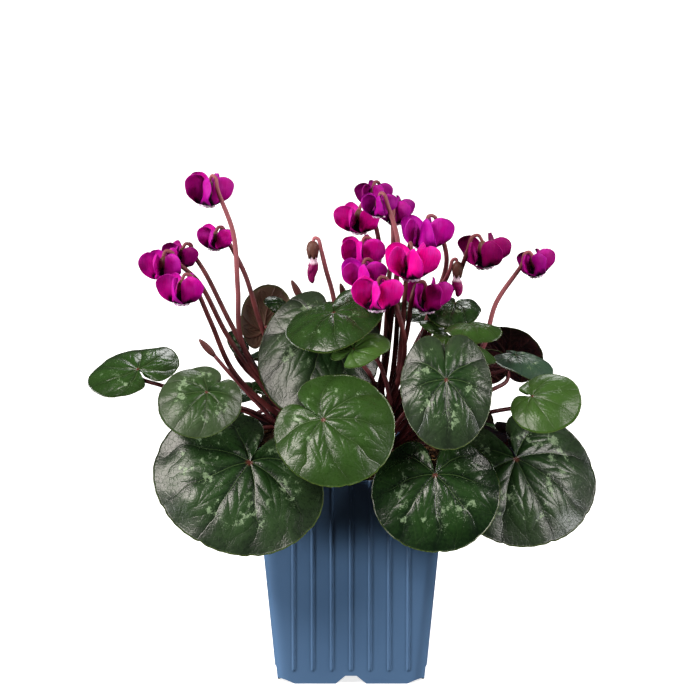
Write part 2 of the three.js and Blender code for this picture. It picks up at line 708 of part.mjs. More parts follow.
function makePetiole(leaf) {
  const rise = [rootPoint(leaf.root), riseFrom(leaf.root), ...leaf.via.map(place)];
  const path = sampleCurve([...rise, ...petioleEnd(leaf)]);
  return tubeSolid(path, path.map(() => petioleRadius), stalkSides);
}

// The hanging head's own axes: up from the mouth to the calyx, and out to the stalk's side
function headAxes(axis, sideDegrees) {
  const up = vec(axis).normalize();
  const angle = THREE.MathUtils.degToRad(sideDegrees);
  const side = new THREE.Vector3(Math.cos(angle), Math.sin(angle), 0);
  side.sub(up.clone().multiplyScalar(side.dot(up))).normalize();
  return { up, side, cross: up.clone().cross(side) };
}

// The hook that brings the stalk over from beside the head down into the calyx
function hookPoints(foot, axes, size, width) {
  const at = (out, high) => foot.clone()
    .add(axes.side.clone().multiplyScalar(out * width * size))
    .add(axes.up.clone().multiplyScalar(high * size));
  return [
    at(6.6, calyxTop - 2),
    at(4.4, calyxTop + 3),
    at(1.6, calyxTop + 3.6),
    at(0, calyxTop + 0.6),
  ];
}

// A stalk with its hook, widening at its end into the calyx that holds the head
function makeHeadStalk(head, foot) {
  const axes = headAxes(head.axis, head.side);
  const rise = [rootPoint(head.root), riseFrom(head.root), ...head.via.map(place)];
  const path = sampleCurve([...rise, ...hookPoints(foot, axes, head.size, head.hook ?? 1)]);
  const radii = path.map(() => flowerStalkRadius);
  const calyxRim = tubeTop * head.size + seatGap;
  const calyxBack = (calyxTop - 1) * head.size;
  for (const [high, radius] of [[calyxBack, calyxRadius * 0.8], [calyxRim, calyxRadius]]) {
    path.push(foot.clone().add(axes.up.clone().multiplyScalar(high)));
    radii.push(radius * head.size);
  }
  return tubeSolid(path, radii, stalkSides);
}

// A stalk that ends in a rolled, pointed young leaf
function makeShoot(shoot) {
  const rise = [rootPoint(shoot.root), riseFrom(shoot.root), ...shoot.via.map(place)];
  const base = place(shoot.base);
  const point = place(shoot.point);
  const path = sampleCurve([...rise, base]);
  const radii = path.map(() => flowerStalkRadius);
  for (const [share, radius] of [[0.3, 1.7], [0.6, 1.5], [1, 0.5]]) {
    path.push(base.clone().lerp(point, share));
    radii.push(radius);
  }
  return tubeSolid(path, radii, stalkSides);
}

// Where a bud's own flower mouth would be, below the place it hangs from
function budFoot(bud) {
  const up = vec(bud.axis).normalize();
  return place(bud.top).sub(up.multiplyScalar(tubeTop * bud.size));
}

function makeStalks() {
  const solids = [makeCorm(0)];
  leaves.forEach((leaf) => solids.push(makePetiole(leaf)));
  flowers.forEach((flower) => solids.push(makeHeadStalk(flower, place(flower.mouth))));
  buds.forEach((bud) => solids.push(makeHeadStalk(bud, budFoot(bud))));
  shoots.forEach((shoot) => solids.push(makeShoot(shoot)));
  return largestBody(join(solids));
}

// Flowers

// One petal: out from the mouth, bent back up beside the tube, and turned like a propeller blade
function makePetal(foot, axes, angle, flower, draw) {
  const open = flower.open ?? 1;
  const tall = 1.6 - 0.6 * open;
  const stations = [
    { r: 1.7, h: 1, half: 1.1 },
    { r: 4.6, h: 0.4, half: 2.4 },
    { r: 6.9 * open, h: 6.8 * tall, half: 4.9 },
    { r: 8.1 * open, h: 13.8 * tall, half: 3.4 },
  ];
  const lean = (draw() - 0.5) * 0.1;
  const twist = 1.25 + (draw() - 0.5) * 0.3;
  const size = flower.size * (0.96 + 0.08 * draw());
  const out = axes.side.clone().multiplyScalar(Math.cos(angle))
    .add(axes.cross.clone().multiplyScalar(Math.sin(angle)));
  const tangent = axes.up.clone().cross(out);
  const middle = [];
  stations.forEach((station, j) => {
    const t = j / (stations.length - 1);
    const spin = twist * smooth(t * 2.2 - 0.15);
    const r = station.r * size + station.h * lean;
    const centre = foot.clone()
      .add(out.clone().multiplyScalar(r))
      .add(axes.up.clone().multiplyScalar(station.h * size));
    const wide = tangent.clone().multiplyScalar(Math.cos(spin))
      .add(out.clone().multiplyScalar(Math.sin(spin)));
    const deep = out.clone().multiplyScalar(Math.cos(spin))
      .sub(tangent.clone().multiplyScalar(Math.sin(spin)));
    for (const across of [-1, 0, 1]) {
      const point = centre.clone().add(wide.clone().multiplyScalar(across * station.half * size));
      point.add(deep.clone().multiplyScalar((1 - across * across) * 0.22 * station.half));
      middle.push(point);
    }
  });
  const faces = [];
  for (let j = 0; j + 1 < stations.length; j += 1) {
    for (let i = 0; i < 2; i += 1) {
      const a = j * 3 + i;
      faces.push([a, a + 1, a + 4], [a, a + 4, a + 3]);
    }
  }
  const rim = [0, 1, 2, 5, 8, 11, 10, 9, 6, 3];
  return thickened(middle, faces, rim, petalThickness);
}

function makeFlower(flower, seed) {
  const draw = seededDraws(seed);
  const axes = headAxes(flower.axis, flower.side);
  const foot = place(flower.mouth);
  const tube = turnedSolid([
    [0, -0.9],
    [3, -0.9],
    [2.6, 4.2],
    [1.7, tubeTop],
    [0, tubeTop],
  ].map(([r, h]) => [r * flower.size, h * flower.size]), tubeSides, foot, axes.up);
  const petals = [50, 115, 180, 246, 314].map((degrees) => {
    const angle = THREE.MathUtils.degToRad(degrees);
    return makePetal(foot, axes, angle, flower, draw);
  });
  return largestBody(join([tube, ...petals]));
}

// Buds: petals rolled into a pointed spindle
function makeBud(bud) {
  const axes = headAxes(bud.axis, bud.side);
  const foot = place(bud.top);
  const long = bud.length;
  return turnedSolid([
    [0, -long],
    [1.1, -long * 0.93],
    [2.1, -long * 0.6],
    [2.2, -long * 0.3],
    [1.6, 0],
    [0, 0],
  ], 7, foot, axes.up);
}

// The group

const potPlastic = new THREE.MeshStandardMaterial({ color: 0x4b678c, roughness: 0.5 });
const soilCrumbs = new THREE.MeshStandardMaterial({ color: 0x33241b, roughness: 0.95 });
const stalkSkin = new THREE.MeshStandardMaterial({ color: 0x572722, roughness: 0.5 });
const leafGreen = new THREE.MeshStandardMaterial({ color: 0x2a4a26, roughness: 0.4 });
const petalMagenta = new THREE.MeshStandardMaterial({ color: 0xc2108f, roughness: 0.6 });
const budMagenta = new THREE.MeshStandardMaterial({ color: 0xa01070, roughness: 0.6 });

const plant = new THREE.Group();

function addPiece(name, solid, material) {
  const mesh = new THREE.Mesh(geometryFromSolid(solid), material);
  mesh.name = name;
  plant.add(mesh);
}

function numbered(stem, index) {
  return `${stem}_${String(index + 1).padStart(2, '0')}`;
}

addPiece('pot', makePot(), potPlastic);
addPiece('soil', makeSoil().subtract(makeCorm(seatGap)), soilCrumbs);
addPiece('stalks', makeStalks(), stalkSkin);
leaves.forEach((leaf, n) => addPiece(numbered('leaf', n), makeLeaf(leaf), leafGreen));
flowers.forEach((flower, n) => {
  addPiece(numbered('flower', n), makeFlower(flower, 11 + 7 * n), petalMagenta);
});
buds.forEach((bud, n) => addPiece(numbered('bud', n), makeBud(bud), budMagenta));

export default plant;
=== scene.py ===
# %% [markdown]
# # A potted cyclamen
# The plant stands in a small square nursery pot: round silver-marked leaves on arching stalks,
# flowers with petals bent back like a shuttlecock, and two hanging buds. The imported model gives
# the size and place of every part. This lesson dresses each of them with a finer mesh and a
# finish made of shader nodes. Lengths are written in millimetres and turned into metres once.

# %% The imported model
import math
import bmesh
import bpy
import numpy as np
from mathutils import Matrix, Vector


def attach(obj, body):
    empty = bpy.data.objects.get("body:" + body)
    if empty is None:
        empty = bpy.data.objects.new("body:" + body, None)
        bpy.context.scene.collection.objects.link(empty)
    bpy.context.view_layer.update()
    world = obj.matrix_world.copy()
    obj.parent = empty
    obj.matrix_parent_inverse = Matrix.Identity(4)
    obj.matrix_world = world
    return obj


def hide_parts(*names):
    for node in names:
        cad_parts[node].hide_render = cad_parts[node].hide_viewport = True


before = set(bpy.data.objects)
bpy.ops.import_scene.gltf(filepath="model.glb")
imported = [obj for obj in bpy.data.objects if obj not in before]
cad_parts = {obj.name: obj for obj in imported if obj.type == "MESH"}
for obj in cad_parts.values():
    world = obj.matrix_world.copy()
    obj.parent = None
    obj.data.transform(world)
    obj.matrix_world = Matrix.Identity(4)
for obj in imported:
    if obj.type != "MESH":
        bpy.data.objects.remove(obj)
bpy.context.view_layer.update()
MM = 0.001

# %% [markdown]
# ## The camera
# A catalogue picture of a plant is taken with a long lens from a little above, which keeps the
# pot's walls nearly parallel. A short lens close by would swell the flowers in front. So the
# camera looks down 14 degrees from 3 m away, and the pale floor fills the whole background.

# %% Camera
LENS_MM = 325.9
SENSOR_MM = 36
FARTHEST_SEEN = 50
CAMERA_TILT = math.radians(14)
CAMERA_DISTANCE = 3.0
AIM = Vector((-0.47, 12.61, 150.57)) * MM


def put_in_scene(name, data):
    """A new object for a camera, a light or a mesh."""
    made = bpy.data.objects.new(name, data)
    bpy.context.collection.objects.link(made)
    return made


camera_data = bpy.data.cameras.new("studio_camera")
camera_data.lens = LENS_MM
camera_data.sensor_width = SENSOR_MM
camera_data.clip_end = FARTHEST_SEEN
camera = put_in_scene("studio_camera", camera_data)
look = Vector((0, math.cos(CAMERA_TILT), -math.sin(CAMERA_TILT)))
camera.location = AIM - look * CAMERA_DISTANCE
camera.rotation_euler = look.to_track_quat("-Z", "Y").to_euler()
bpy.context.scene.camera = camera
bpy.context.scene.view_settings.view_transform = "Standard"
print("camera at", [round(v, 3) for v in camera.location])

# %% [markdown]
# ## The light
# Waxy leaves show every lamp as a soft patch, so a studio uses large softboxes. The key light
# hangs at the upper left and a weaker one at the right. Two low ones reach under the leaves and
# graze the pot's ribs, and three stand behind for the far side. A sky picture would light the
# plant as evenly, but only separate lamps can be set where their reflections please.

# %% Lights
LIGHTS_FACE = Vector((0, 0, 0.13))
ROOM_LIGHT = 0.035
WHITE = (1, 1, 1)
# Each lamp: its place and width in metres, its power in watts, and its tint
LAMPS = {
    "left_softbox": ((-1.05, -0.9, 1.5), 0.75, 33, (1, 0.92, 0.87)),
    "right_softbox": ((1.2, -0.65, 1.2), 0.6, 17, (1, 0.94, 0.91)),
    "low_left_softbox": ((-1.5, -0.66, 0.3), 0.4, 21, WHITE),
    "low_right_softbox": ((1.45, -0.74, 0.34), 0.4, 9, WHITE),
    "back_left_softbox": ((-1.35, 0.62, 0.4), 0.5, 7, WHITE),
    "back_right_softbox": ((1.35, 0.65, 0.4), 0.5, 5.5, WHITE),
    "back_softbox": ((0.1, 1.5, 1.4), 0.6, 9, WHITE),
}


def softbox(name, place, width, watts, tint):
    """A square area light that faces the plant."""
    data = bpy.data.lights.new(name, "AREA")
    data.size = width
    data.energy = watts
    data.color = tint
    light = put_in_scene(name, data)
    light.location = place
    light.rotation_euler = (LIGHTS_FACE - light.location).to_track_quat("-Z", "Y").to_euler()


for name, lamp in LAMPS.items():
    softbox(name, *lamp)

world = bpy.data.worlds.new("white_room")
world.use_nodes = True
room = world.node_tree.nodes["Background"].inputs
room["Color"].default_value = (*WHITE, 1)
room["Strength"].default_value = ROOM_LIGHT
bpy.context.scene.world = world
print(len(LAMPS), "softboxes and a dim white room")

# %% [markdown]
# ## Shader maths as expressions
# A material is a graph of nodes. Written node by node it is long and hard to read, so one small
# class wraps a socket: arithmetic on wires adds Math nodes, and one method adds any other node.

# %% A wire of the node graph
class Wire:
    """An output socket of a material; arithmetic on wires adds Math nodes."""

    def __init__(self, tree, socket):
        self.tree = tree
        self.socket = socket

    def maths(self, operation, *others):
        values = dict(enumerate((self, *others)))
        return node(self.tree, "ShaderNodeMath", {"operation": operation}, values)

    def __add__(self, other):
        return self.maths("ADD", other)

    def __sub__(self, other):
        return self.maths("SUBTRACT", other)

    def __mul__(self, other):
        return self.maths("MULTIPLY", other)

    def __truediv__(self, other):
        return self.maths("DIVIDE", other)

    def __pow__(self, other):
        return self.maths("POWER", other)

    def __rsub__(self, other):
        return node(self.tree, "ShaderNodeMath", {"operation": "SUBTRACT"}, {0: other, 1: self})

    __radd__ = __add__
    __rmul__ = __mul__

    def __abs__(self):
        return self.maths("ABSOLUTE")

    def rounded(self):
        return self.maths("ROUND")

    def least(self, other):
        return self.maths("MINIMUM", other)

    def most(self, other):
        return self.maths("MAXIMUM", other)

    def ramp(self, start, end):
        """0 at start, 1 at end, with a smooth step between."""
        sockets = {"Value": self, "From Min": start, "From Max": end}
        return node(self.tree, "ShaderNodeMapRange", {"interpolation_type": "SMOOTHSTEP"}, sockets)


def node(tree, kind, settings, sockets, out=0):
    """Add a node: its settings first, then the values or wires of its sockets."""
    made = tree.nodes.new(kind)
    for name, value in settings.items():
        setattr(made, name, value)
    for name, value in sockets.items():
        if isinstance(value, Wire):
            tree.links.new(value.socket, made.inputs[name])
        else:
            made.inputs[name].default_value = value
    return Wire(tree, made.outputs[out])


print("a wire adds, subtracts, multiplies, divides and raises, and takes least, most and ramp")

# %% [markdown]
# ## Words for finishes
# Every finish below is spoken in the same few words. A finish starts as a Principled shader with
# its constant sockets set. Noise of a known grain size gives the clouds, streaks and flecks, a
# colour is blended over the last one wherever a mask says so, and a height becomes a bump.

# %% Helpers for finishes
def finish(name, **constants):
    """A new material, its node tree, and its shader with these constant sockets."""
    material = bpy.data.materials.new(name)
    material.use_nodes = True
    shader = material.node_tree.nodes["Principled BSDF"]
    for socket, value in constants.items():
        shader.inputs[socket.replace("_", " ")].default_value = value
    return material, material.node_tree, shader


def lead(shader, **wires):
    """Link wires to the shader's sockets."""
    for socket, wire in wires.items():
        wire.tree.links.new(wire.socket, shader.inputs[socket.replace("_", " ")])


def value_of(tree, name):
    """A number kept on the mesh's points."""
    return node(tree, "ShaderNodeAttribute", {"attribute_name": name}, {}, "Fac")


def flat_place(tree):
    """The point's place on the flattened sheet, in millimetres, kept on the mesh's points."""
    return node(tree, "ShaderNodeAttribute", {"attribute_name": "flat"}, {}, "Vector")


def solid_place(tree):
    """The point's place in the object, in metres."""
    return node(tree, "ShaderNodeTexCoord", {}, {}, "Object")


def stretched(tree, place, factors):
    """A place squeezed along its axes, so that the grain on it gets long."""
    return node(tree, "ShaderNodeVectorMath", {"operation": "MULTIPLY"}, {0: place, 1: factors},
                "Vector")


def grain(tree, place, size, detail=3, roughness=0.55):
    """Noise from 0 to 1 with features of one size, in the unit of the place."""
    sockets = {"Vector": place, "Scale": 1 / size, "Detail": detail, "Roughness": roughness}
    return node(tree, "ShaderNodeTexNoise", {}, sockets, "Fac")


COLOUR_IN_A, COLOUR_IN_B, COLOUR_OUT = 6, 7, 2


def blend_colour(tree, share, first, second):
    """The first colour where the share is 0, the second where it is 1."""
    sockets = {0: share}
    for index, colour in ((COLOUR_IN_A, first), (COLOUR_IN_B, second)):
        sockets[index] = colour if isinstance(colour, Wire) else (*colour, 1)
    return node(tree, "ShaderNodeMix", {"data_type": "RGBA"}, sockets, COLOUR_OUT)


def painted(tree, colour, *coats):
    """Each coat is a share and a colour, blended over all that lies under it."""
    for share, coat in coats:
        colour = blend_colour(tree, share, colour, coat)
    return colour


def relief(tree, height, depth_mm):
    """A bump from a height wire, at its depth in millimetres."""
    sockets = {"Height": height, "Distance": depth_mm * MM, "Strength": 1.0}
    return node(tree, "ShaderNodeBump", {}, sockets, "Normal")


def told(material):
    """Print how large a finish has become."""
    print("finish", material.name, "has", len(material.node_tree.nodes), "nodes")
    return material


print("finish helpers are ready")

# %% [markdown]
# ## Meshes from grids
# Every piece of the plant is a bent sheet or a swept tube, so its points form a grid. They could
# be modelled by hand, but 31 leaves and 17 flowers are quicker and truer as formulas. The numbers
# are worked out with numpy, gathered in a bundle, and made into one mesh. Values that a finish
# needs, such as how far a point is from the leaf's joint, ride on the points as attributes.

# %% Faces of grids and rings
def grid_faces(rows, columns, wrap=False):
    """Quads of a grid of points, row after row; wrap closes each row on itself."""
    across = columns if wrap else columns - 1
    i, j = np.meshgrid(np.arange(rows - 1), np.arange(across), indexing="ij")
    after = (j + 1) % columns
    quads = np.stack([i * columns + j, i * columns + after,
                      (i + 1) * columns + after, (i + 1) * columns + j], axis=-1)
    return quads.reshape(-1, 4)


def closed_rings(rows, around, flip=False):
    """Faces of a stack of rings with both ends closed; flip turns every face over."""
    last = (rows - 1) * around
    faces = [*grid_faces(rows, around, wrap=True).tolist(),
             list(range(around))[::-1], [last + k for k in range(around)]]
    return [face[::-1] for face in faces] if flip else faces


def angles_round(count):
    """Even angles once round."""
    return np.linspace(0, 2 * math.pi, count, endpoint=False)


print("a stack of 3 rings of 8 points has", len(closed_rings(3, 8)), "faces")

# %% Bundles of points and faces
class Bundle:
    """Points, faces and point values gathered for one mesh."""

    def __init__(self, *names):
        self.points = []
        self.faces = []
        self.kinds = []
        self.values = {name: [] for name in names}
        self.count = 0

    def add(self, points, faces, kinds=0, **values):
        """Add a part; kinds says which of the piece's materials each face has."""
        points = np.asarray(points, float).reshape(-1, 3)
        self.points.append(points)
        self.faces.extend([[int(n) + self.count for n in face] for face in faces])
        self.kinds.extend(np.broadcast_to(kinds, (len(faces),)).tolist())
        for name, rows in self.values.items():
            given = np.asarray(values.get(name, 0.0), float).reshape(-1)
            rows.append(np.broadcast_to(given, (len(points),)))
        self.count += len(points)

    def make(self, name, materials, stands_for, flat=None):
        """The mesh as a piece that rides on the plant's body."""
        mesh = bpy.data.meshes.new(name)
        points = np.concatenate(self.points)
        mesh.from_pydata((points * MM).tolist(), [], self.faces)
        for label, rows in self.values.items():
            layer = mesh.attributes.new(label, "FLOAT", "POINT")
            layer.data.foreach_set("value", np.concatenate(rows).astype(np.float32))
        if flat is not None:
            layer = mesh.attributes.new("flat", "FLOAT_VECTOR", "POINT")
            layer.data.foreach_set("vector", np.asarray(flat, np.float32).reshape(-1))
        for material in materials:
            mesh.materials.append(material)
        mesh.polygons.foreach_set("material_index", self.kinds)
        mesh.polygons.foreach_set("use_smooth", [True] * len(mesh.polygons))
        mesh.update()
        made = put_in_scene(name, mesh)
        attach(made, "root")
        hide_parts(*stands_for)
        return made


print("bundles are ready")

# %% Smooth steps and seeded ripples
RIPPLE_CELLS = 61
RIPPLE_OFFSET = 500


def smooth(t):
    """A smooth step from 0 to 1."""
    s = np.clip(t, 0, 1)
    return s * s * (3 - 2 * s)


def ripple(x, y, size, seed):
    """Seeded smooth noise from -1 to 1, with features of one size in millimetres."""
    table = np.random.default_rng(seed).uniform(-1, 1, (RIPPLE_CELLS, RIPPLE_CELLS))
    u, v = np.asarray(x) / size + RIPPLE_OFFSET, np.asarray(y) / size + RIPPLE_OFFSET
    i, j = np.floor(u).astype(int), np.floor(v).astype(int)
    s, t = smooth(u - i), smooth(v - j)

    def corner(a, b):
        return table[(i + a) % RIPPLE_CELLS, (j + b) % RIPPLE_CELLS]

    low = corner(0, 0) * (1 - s) + corner(1, 0) * s
    high = corner(0, 1) * (1 - s) + corner(1, 1) * s
    return low * (1 - t) + high * t


def unit(v):
    """A direction of length 1."""
    v = np.asarray(v, float)
    return v / np.linalg.norm(v)


print("half way up a smooth step:", smooth(0.5))

# %% Curves and tubes
START_SIDE = (0.31, 0.95, 0.05)


def smooth_curve(controls, steps=8):
    """A centripetal curve through control points."""
    p = [np.asarray(c, float) for c in controls]
    p = [2 * p[0] - p[1], *p, 2 * p[-1] - p[-2]]
    t = np.linspace(0, 1, steps, endpoint=False)[:, None]
    rows = []
    for a, b, c, d in zip(p, p[1:], p[2:], p[3:]):
        ab, bc, cd = (max(np.linalg.norm(q - r), 1e-6) ** 0.5 for q, r in ((a, b), (b, c), (c, d)))
        leave = ((b - a) / ab - (c - a) / (ab + bc) + (c - b) / bc) * bc
        reach = ((c - b) / bc - (d - b) / (bc + cd) + (d - c) / cd) * bc
        cubic = 2 * b - 2 * c + leave + reach
        square = -3 * b + 3 * c - 2 * leave - reach
        rows.append(b + leave * t + square * t ** 2 + cubic * t ** 3)
    return np.concatenate([*rows, p[-2][None]])


def frames_along(path):
    """Two directions across the path at each point, turned as little as possible."""
    tangents = np.gradient(path, axis=0)
    tangents /= np.linalg.norm(tangents, axis=1)[:, None]
    side = unit(np.cross(START_SIDE, tangents[0]))
    sides = []
    for tangent in tangents:
        side = unit(side - tangent * side.dot(tangent))
        sides.append(side)
    sides = np.array(sides)
    return sides, np.cross(tangents, sides)


def share_along(path):
    """How far along the path each point lies, from 0 to 1."""
    steps = np.linalg.norm(np.diff(path, axis=0), axis=1)
    run = np.concatenate([[0], np.cumsum(steps)])
    return run / run[-1]


def tube_grid(path, radii, around, ridge):
    """Rings of points along a path; ridge makes the section a little angular."""
    side, up = frames_along(path)
    angle = angles_round(around)
    radius = np.asarray(radii)[:, None] * (1 + ridge * np.cos(3 * angle))[None]
    cos, sin = radius * np.cos(angle), radius * np.sin(angle)
    return path[:, None] + cos[..., None] * side[:, None] + sin[..., None] * up[:, None]


def add_tube(bundle, path, radii, around, kinds=0, ridge=0.0, **values):
    """A closed tube in the bundle; a value per path point is spread over its ring."""
    rows = len(path)
    spread = {name: np.repeat(np.broadcast_to(v, (rows,)), around) for name, v in values.items()}
    bundle.add(tube_grid(path, radii, around, ridge), closed_rings(rows, around), kinds, **spread)


print("a curve through 3 places has", len(smooth_curve(np.eye(3))), "points")

# %% [markdown]
# ## The plant's layout
# A real plant grows its own order. Scattering leaves by a rule would give a plausible plant, but
# not this one, so the tables give each leaf, flower, bud and young shoot listed places in
# millimetres above the pot's rim. They are those of the solid model, so that each fine piece lies
# in its solid.

# %% Pot sizes
POT_HEIGHT = 102
POT_TOP_HALF = 45
POT_FOOT_HALF = 34.6
POT_WALL = 1.2
CORNER_RADIUS = 6
RIB_COUNT = 7
RIB_PITCH = 9
RIB_HEIGHT = 0.6
SOIL_LEVEL = POT_HEIGHT - 1.8
CORM_TOP = POT_HEIGHT + 1
print("pot:", 2 * POT_TOP_HALF, "mm wide and", POT_HEIGHT, "mm high")

# %% Leaves
# joint: where the stalk meets the blade; tip: far end of the midrib; face: the way the upper side
# looks; back: how far the base lobes reach behind the joint; wide: width over length; sinus: half
# angle of the slot between the lobes; arch, roll, fold: the blade's bends; root, via: its stalk.
LEAVES = [
    dict(joint=[-100, -12, 45], tip=[-113, 10, 46], face=[-0.2, -0.24, 0.95], wide=1.15, roll=3,
         root=[-8, -2], via=[[-24, -10, 13], [-56, -14, 28], [-88, -15, 38]]),
    dict(joint=[-67, -46, 43], tip=[-83.5, -59, 28.5], face=[-0.1, -0.8, 0.6], back=0.25, arch=1.5,
         wide=0.93, sinus=5, root=[-8, -6], via=[[-22, -20, 12], [-46, -32, 30]]),
    dict(joint=[-47, -52, 11], tip=[-70, -73, -22], face=[0, -0.75, 0.66], back=0.33, wide=1.22,
         root=[-6, -8], via=[[-24, -28, 10]]),
    dict(joint=[-13, -62, 34], tip=[14, -74, 15], face=[-0.1, -0.8, 0.6], back=0.25, sinus=4,
         root=[0, -9], via=[[-4, -26, 14], [-8, -46, 27]]),
    dict(joint=[-12, -10, 64], tip=[-24, -36, 29], face=[-0.05, -0.8, 0.58], back=0.33, wide=0.84,
         arch=0, root=[-4, -5], via=[[-10, -9, 20], [-12, -8, 46]]),
    dict(joint=[-8, -24, 75.5], tip=[-6, -49, 64.5], face=[-0.28, -0.52, 0.8], back=0.06,
         wide=0.95, sinus=5, root=[6, -8], via=[[18, -21, 26], [13, -25, 52], [0, -23, 67]]),
    dict(joint=[1, -43, 62.5], tip=[16, -30, 65.5], face=[-0.1, -0.3, 0.95], back=0.3, wide=0.8,
         root=[6, -8], via=[[14, -26, 24], [9, -41, 50]]),
    dict(joint=[44, -58, 52], tip=[45, -72, 22], face=[0, -0.9, 0.42], back=0.12, wide=0.72,
         root=[10, -9], via=[[20, -24, 20], [36, -42, 45]]),
    dict(joint=[39, -56, 6], tip=[41, -72, -27], face=[0, -0.9, 0.43], back=0.3, wide=1.06,
         root=[12, -10], via=[[24, -32, 10]]),
    dict(joint=[77, -35, 8], tip=[94, -54, -27], face=[0.3, -0.8, 0.5], back=0.25, fold=-4,
         wide=1.08, root=[18, -6], via=[[34, -16, 10], [58, -26, 13]]),
    dict(joint=[84, -50, 42], tip=[105, -58, 35], face=[0.2, -0.7, 0.65], back=0.45, wide=1.08,
         sinus=4, root=[16, -6], via=[[40, -20, 20], [66, -36, 31]]),
    dict(joint=[77, -20, 54], tip=[92, -34, 46], face=[0.22, -0.29, 0.92], back=0.35, wide=0.7,
         root=[18, -2], via=[[36, -10, 26], [60, -16, 42]]),
    dict(joint=[74, 14, 46], tip=[75.5, -2, 63], face=[0.25, 0.72, 0.64], back=0.2, wide=0.9,
         root=[20, 4], via=[[42, 4, 18], [66, 4, 31], [74, 9, 35]]),
    dict(joint=[56, -28, 71], tip=[61, -44, 66], face=[0.15, -0.45, 0.88], back=0.3,
         root=[14, -3], via=[[26, -8, 28], [50, -10, 61]]),
    dict(joint=[49, -5, 75.5], tip=[46, -20, 67], face=[-0.1, -0.6, 0.8], back=0.3, wide=0.95,
         root=[12, 0], via=[[22, -2, 30], [44, 3, 60]]),
    dict(joint=[54, -27, 62], tip=[51, -49, 59], face=[0.33, -0.35, 0.88], back=0.2, wide=0.86,
         root=[12, -6], via=[[26, -14, 22], [44, -20, 50]]),
    dict(joint=[63, 2, 43], tip=[64, -8, 55], face=[0.1, 0.75, 0.65], back=0.3, wide=0.95,
         root=[18, 1], via=[[32, 2, 16], [54, 2, 32]]),
    dict(joint=[-41, 18, 57], tip=[-37, 23, 78], face=[-0.25, 0.93, 0.1], back=0.3, wide=0.8,
         root=[-6, 2], via=[[-16, 6, 18], [-37, 8, 41], [-40, 11, 52]]),
    dict(joint=[-29, 11, 68.5], tip=[-41, 6, 73.5], face=[0.15, -0.45, 0.88], back=0.25, wide=0.64,
         root=[-5, 4], via=[[-12, 8, 24], [-24, 11, 54]]),
    dict(joint=[-51, 9, 51], tip=[-58.5, 6, 57], face=[-0.1, -0.5, 0.86], back=0.3,
         arch=0.6, roll=0.8,
         root=[-8, 4], via=[[-22, 8, 18], [-49, 17, 37]]),
    dict(joint=[44, -10, 63], tip=[32, -14, 68], face=[0.3, -0.2, 0.93], back=0.3, wide=0.6,
         root=[12, -4], via=[[24, -5, 26], [38, -8, 50]]),
    dict(joint=[38, 24, 66], tip=[32, 48, 64], face=[0, -0.05, 1], back=0.3,
         root=[10, 7], via=[[20, 14, 26], [32, 22, 52]]),
    dict(joint=[-12, 54, 22], tip=[-18, 78, -8], face=[0, 0.8, 0.6], back=0.3,
         root=[2, 9], via=[[-4, 30, 14]]),
    dict(joint=[38, 54, 10], tip=[46, 80, -20], face=[0.1, 0.8, 0.6], back=0.3, wide=0.95,
         root=[12, 10], via=[[24, 32, 11]]),
    dict(joint=[-58, 38, 4], tip=[-80, 52, -24], face=[-0.45, 0.6, 0.66], back=0.3,
         root=[-6, 8], via=[[-27, 20, 14], [-42, 28, 15]]),
    dict(joint=[76, 30, 2], tip=[96, 44, -27], face=[0.5, 0.55, 0.66], back=0.3,
         root=[20, 7], via=[[46, 18, 8]]),
    dict(joint=[-47, 22, 27], tip=[-60, 38, 23], face=[-0.3, 0.3, 0.9], back=0.3,
         root=[-9, 6], via=[[-24, 12, 14]]),
    dict(joint=[-2, 42, 46], tip=[-8, 68, 36], face=[0, 0.4, 0.9], back=0.3,
         root=[3, 8], via=[[0, 26, 24]]),
    dict(joint=[50, 36, 36], tip=[60, 60, 26], face=[0.2, 0.4, 0.9], back=0.3,
         root=[14, 8], via=[[28, 20, 20]]),
    dict(joint=[-30, 34, 44], tip=[-38, 56, 34], face=[-0.2, 0.4, 0.9], back=0.3,
         root=[-6, 6], via=[[-16, 20, 22]]),
    dict(joint=[-64, 0, 14], tip=[-85, -5, -10], face=[-0.7, 0, 0.7], back=0.3, wide=0.75,
         root=[-9, 2], via=[[-34, 0, 14]]),
]

# silver: pale marks between the veins; bright: young yellow-green; bloom_and_sheen: greyish bloom,
# partly painted sheen on the swells; blue: bluish green; brown: browner underside; lap: how far one
# base lobe lies over the other, mm; shut: how much the slot between the lobes closes, degrees
LEAF_LOOKS = {
    1: dict(silver=0.35, bright=0.25),
    2: dict(silver=0.85, bloom_and_sheen=0.55, bright=0.25, lap=1.2),
    3: dict(silver=0.8, bloom_and_sheen=0.2, lap=0.8),
    4: dict(silver=0.25, bright=0.4, lap=1.0),
    5: dict(silver=0.9, bloom_and_sheen=0.45),
    6: dict(silver=0.15, bright=0.25, lap=0.8),
    7: dict(silver=0.3, bright=0.9),
    8: dict(silver=0.8, bloom_and_sheen=0.35, lap=0.8, shut=12),
    9: dict(silver=0.9, bloom_and_sheen=0.0),
    10: dict(silver=0.85, bloom_and_sheen=0.25),
    11: dict(silver=0.1, bright=0.75, lap=1.2),
    12: dict(silver=0.3, blue=0.8, bloom_and_sheen=0.2),
    14: dict(silver=0.3, bright=0.5),
    15: dict(silver=0.5, bright=0.1),
    16: dict(silver=0.35, bright=0.6),
    18: dict(silver=0.3, brown=0.9),
    21: dict(silver=0.2, bright=0.4),
}
print(len(LEAVES), "leaves,", len(LEAF_LOOKS), "of them with looks of their own")

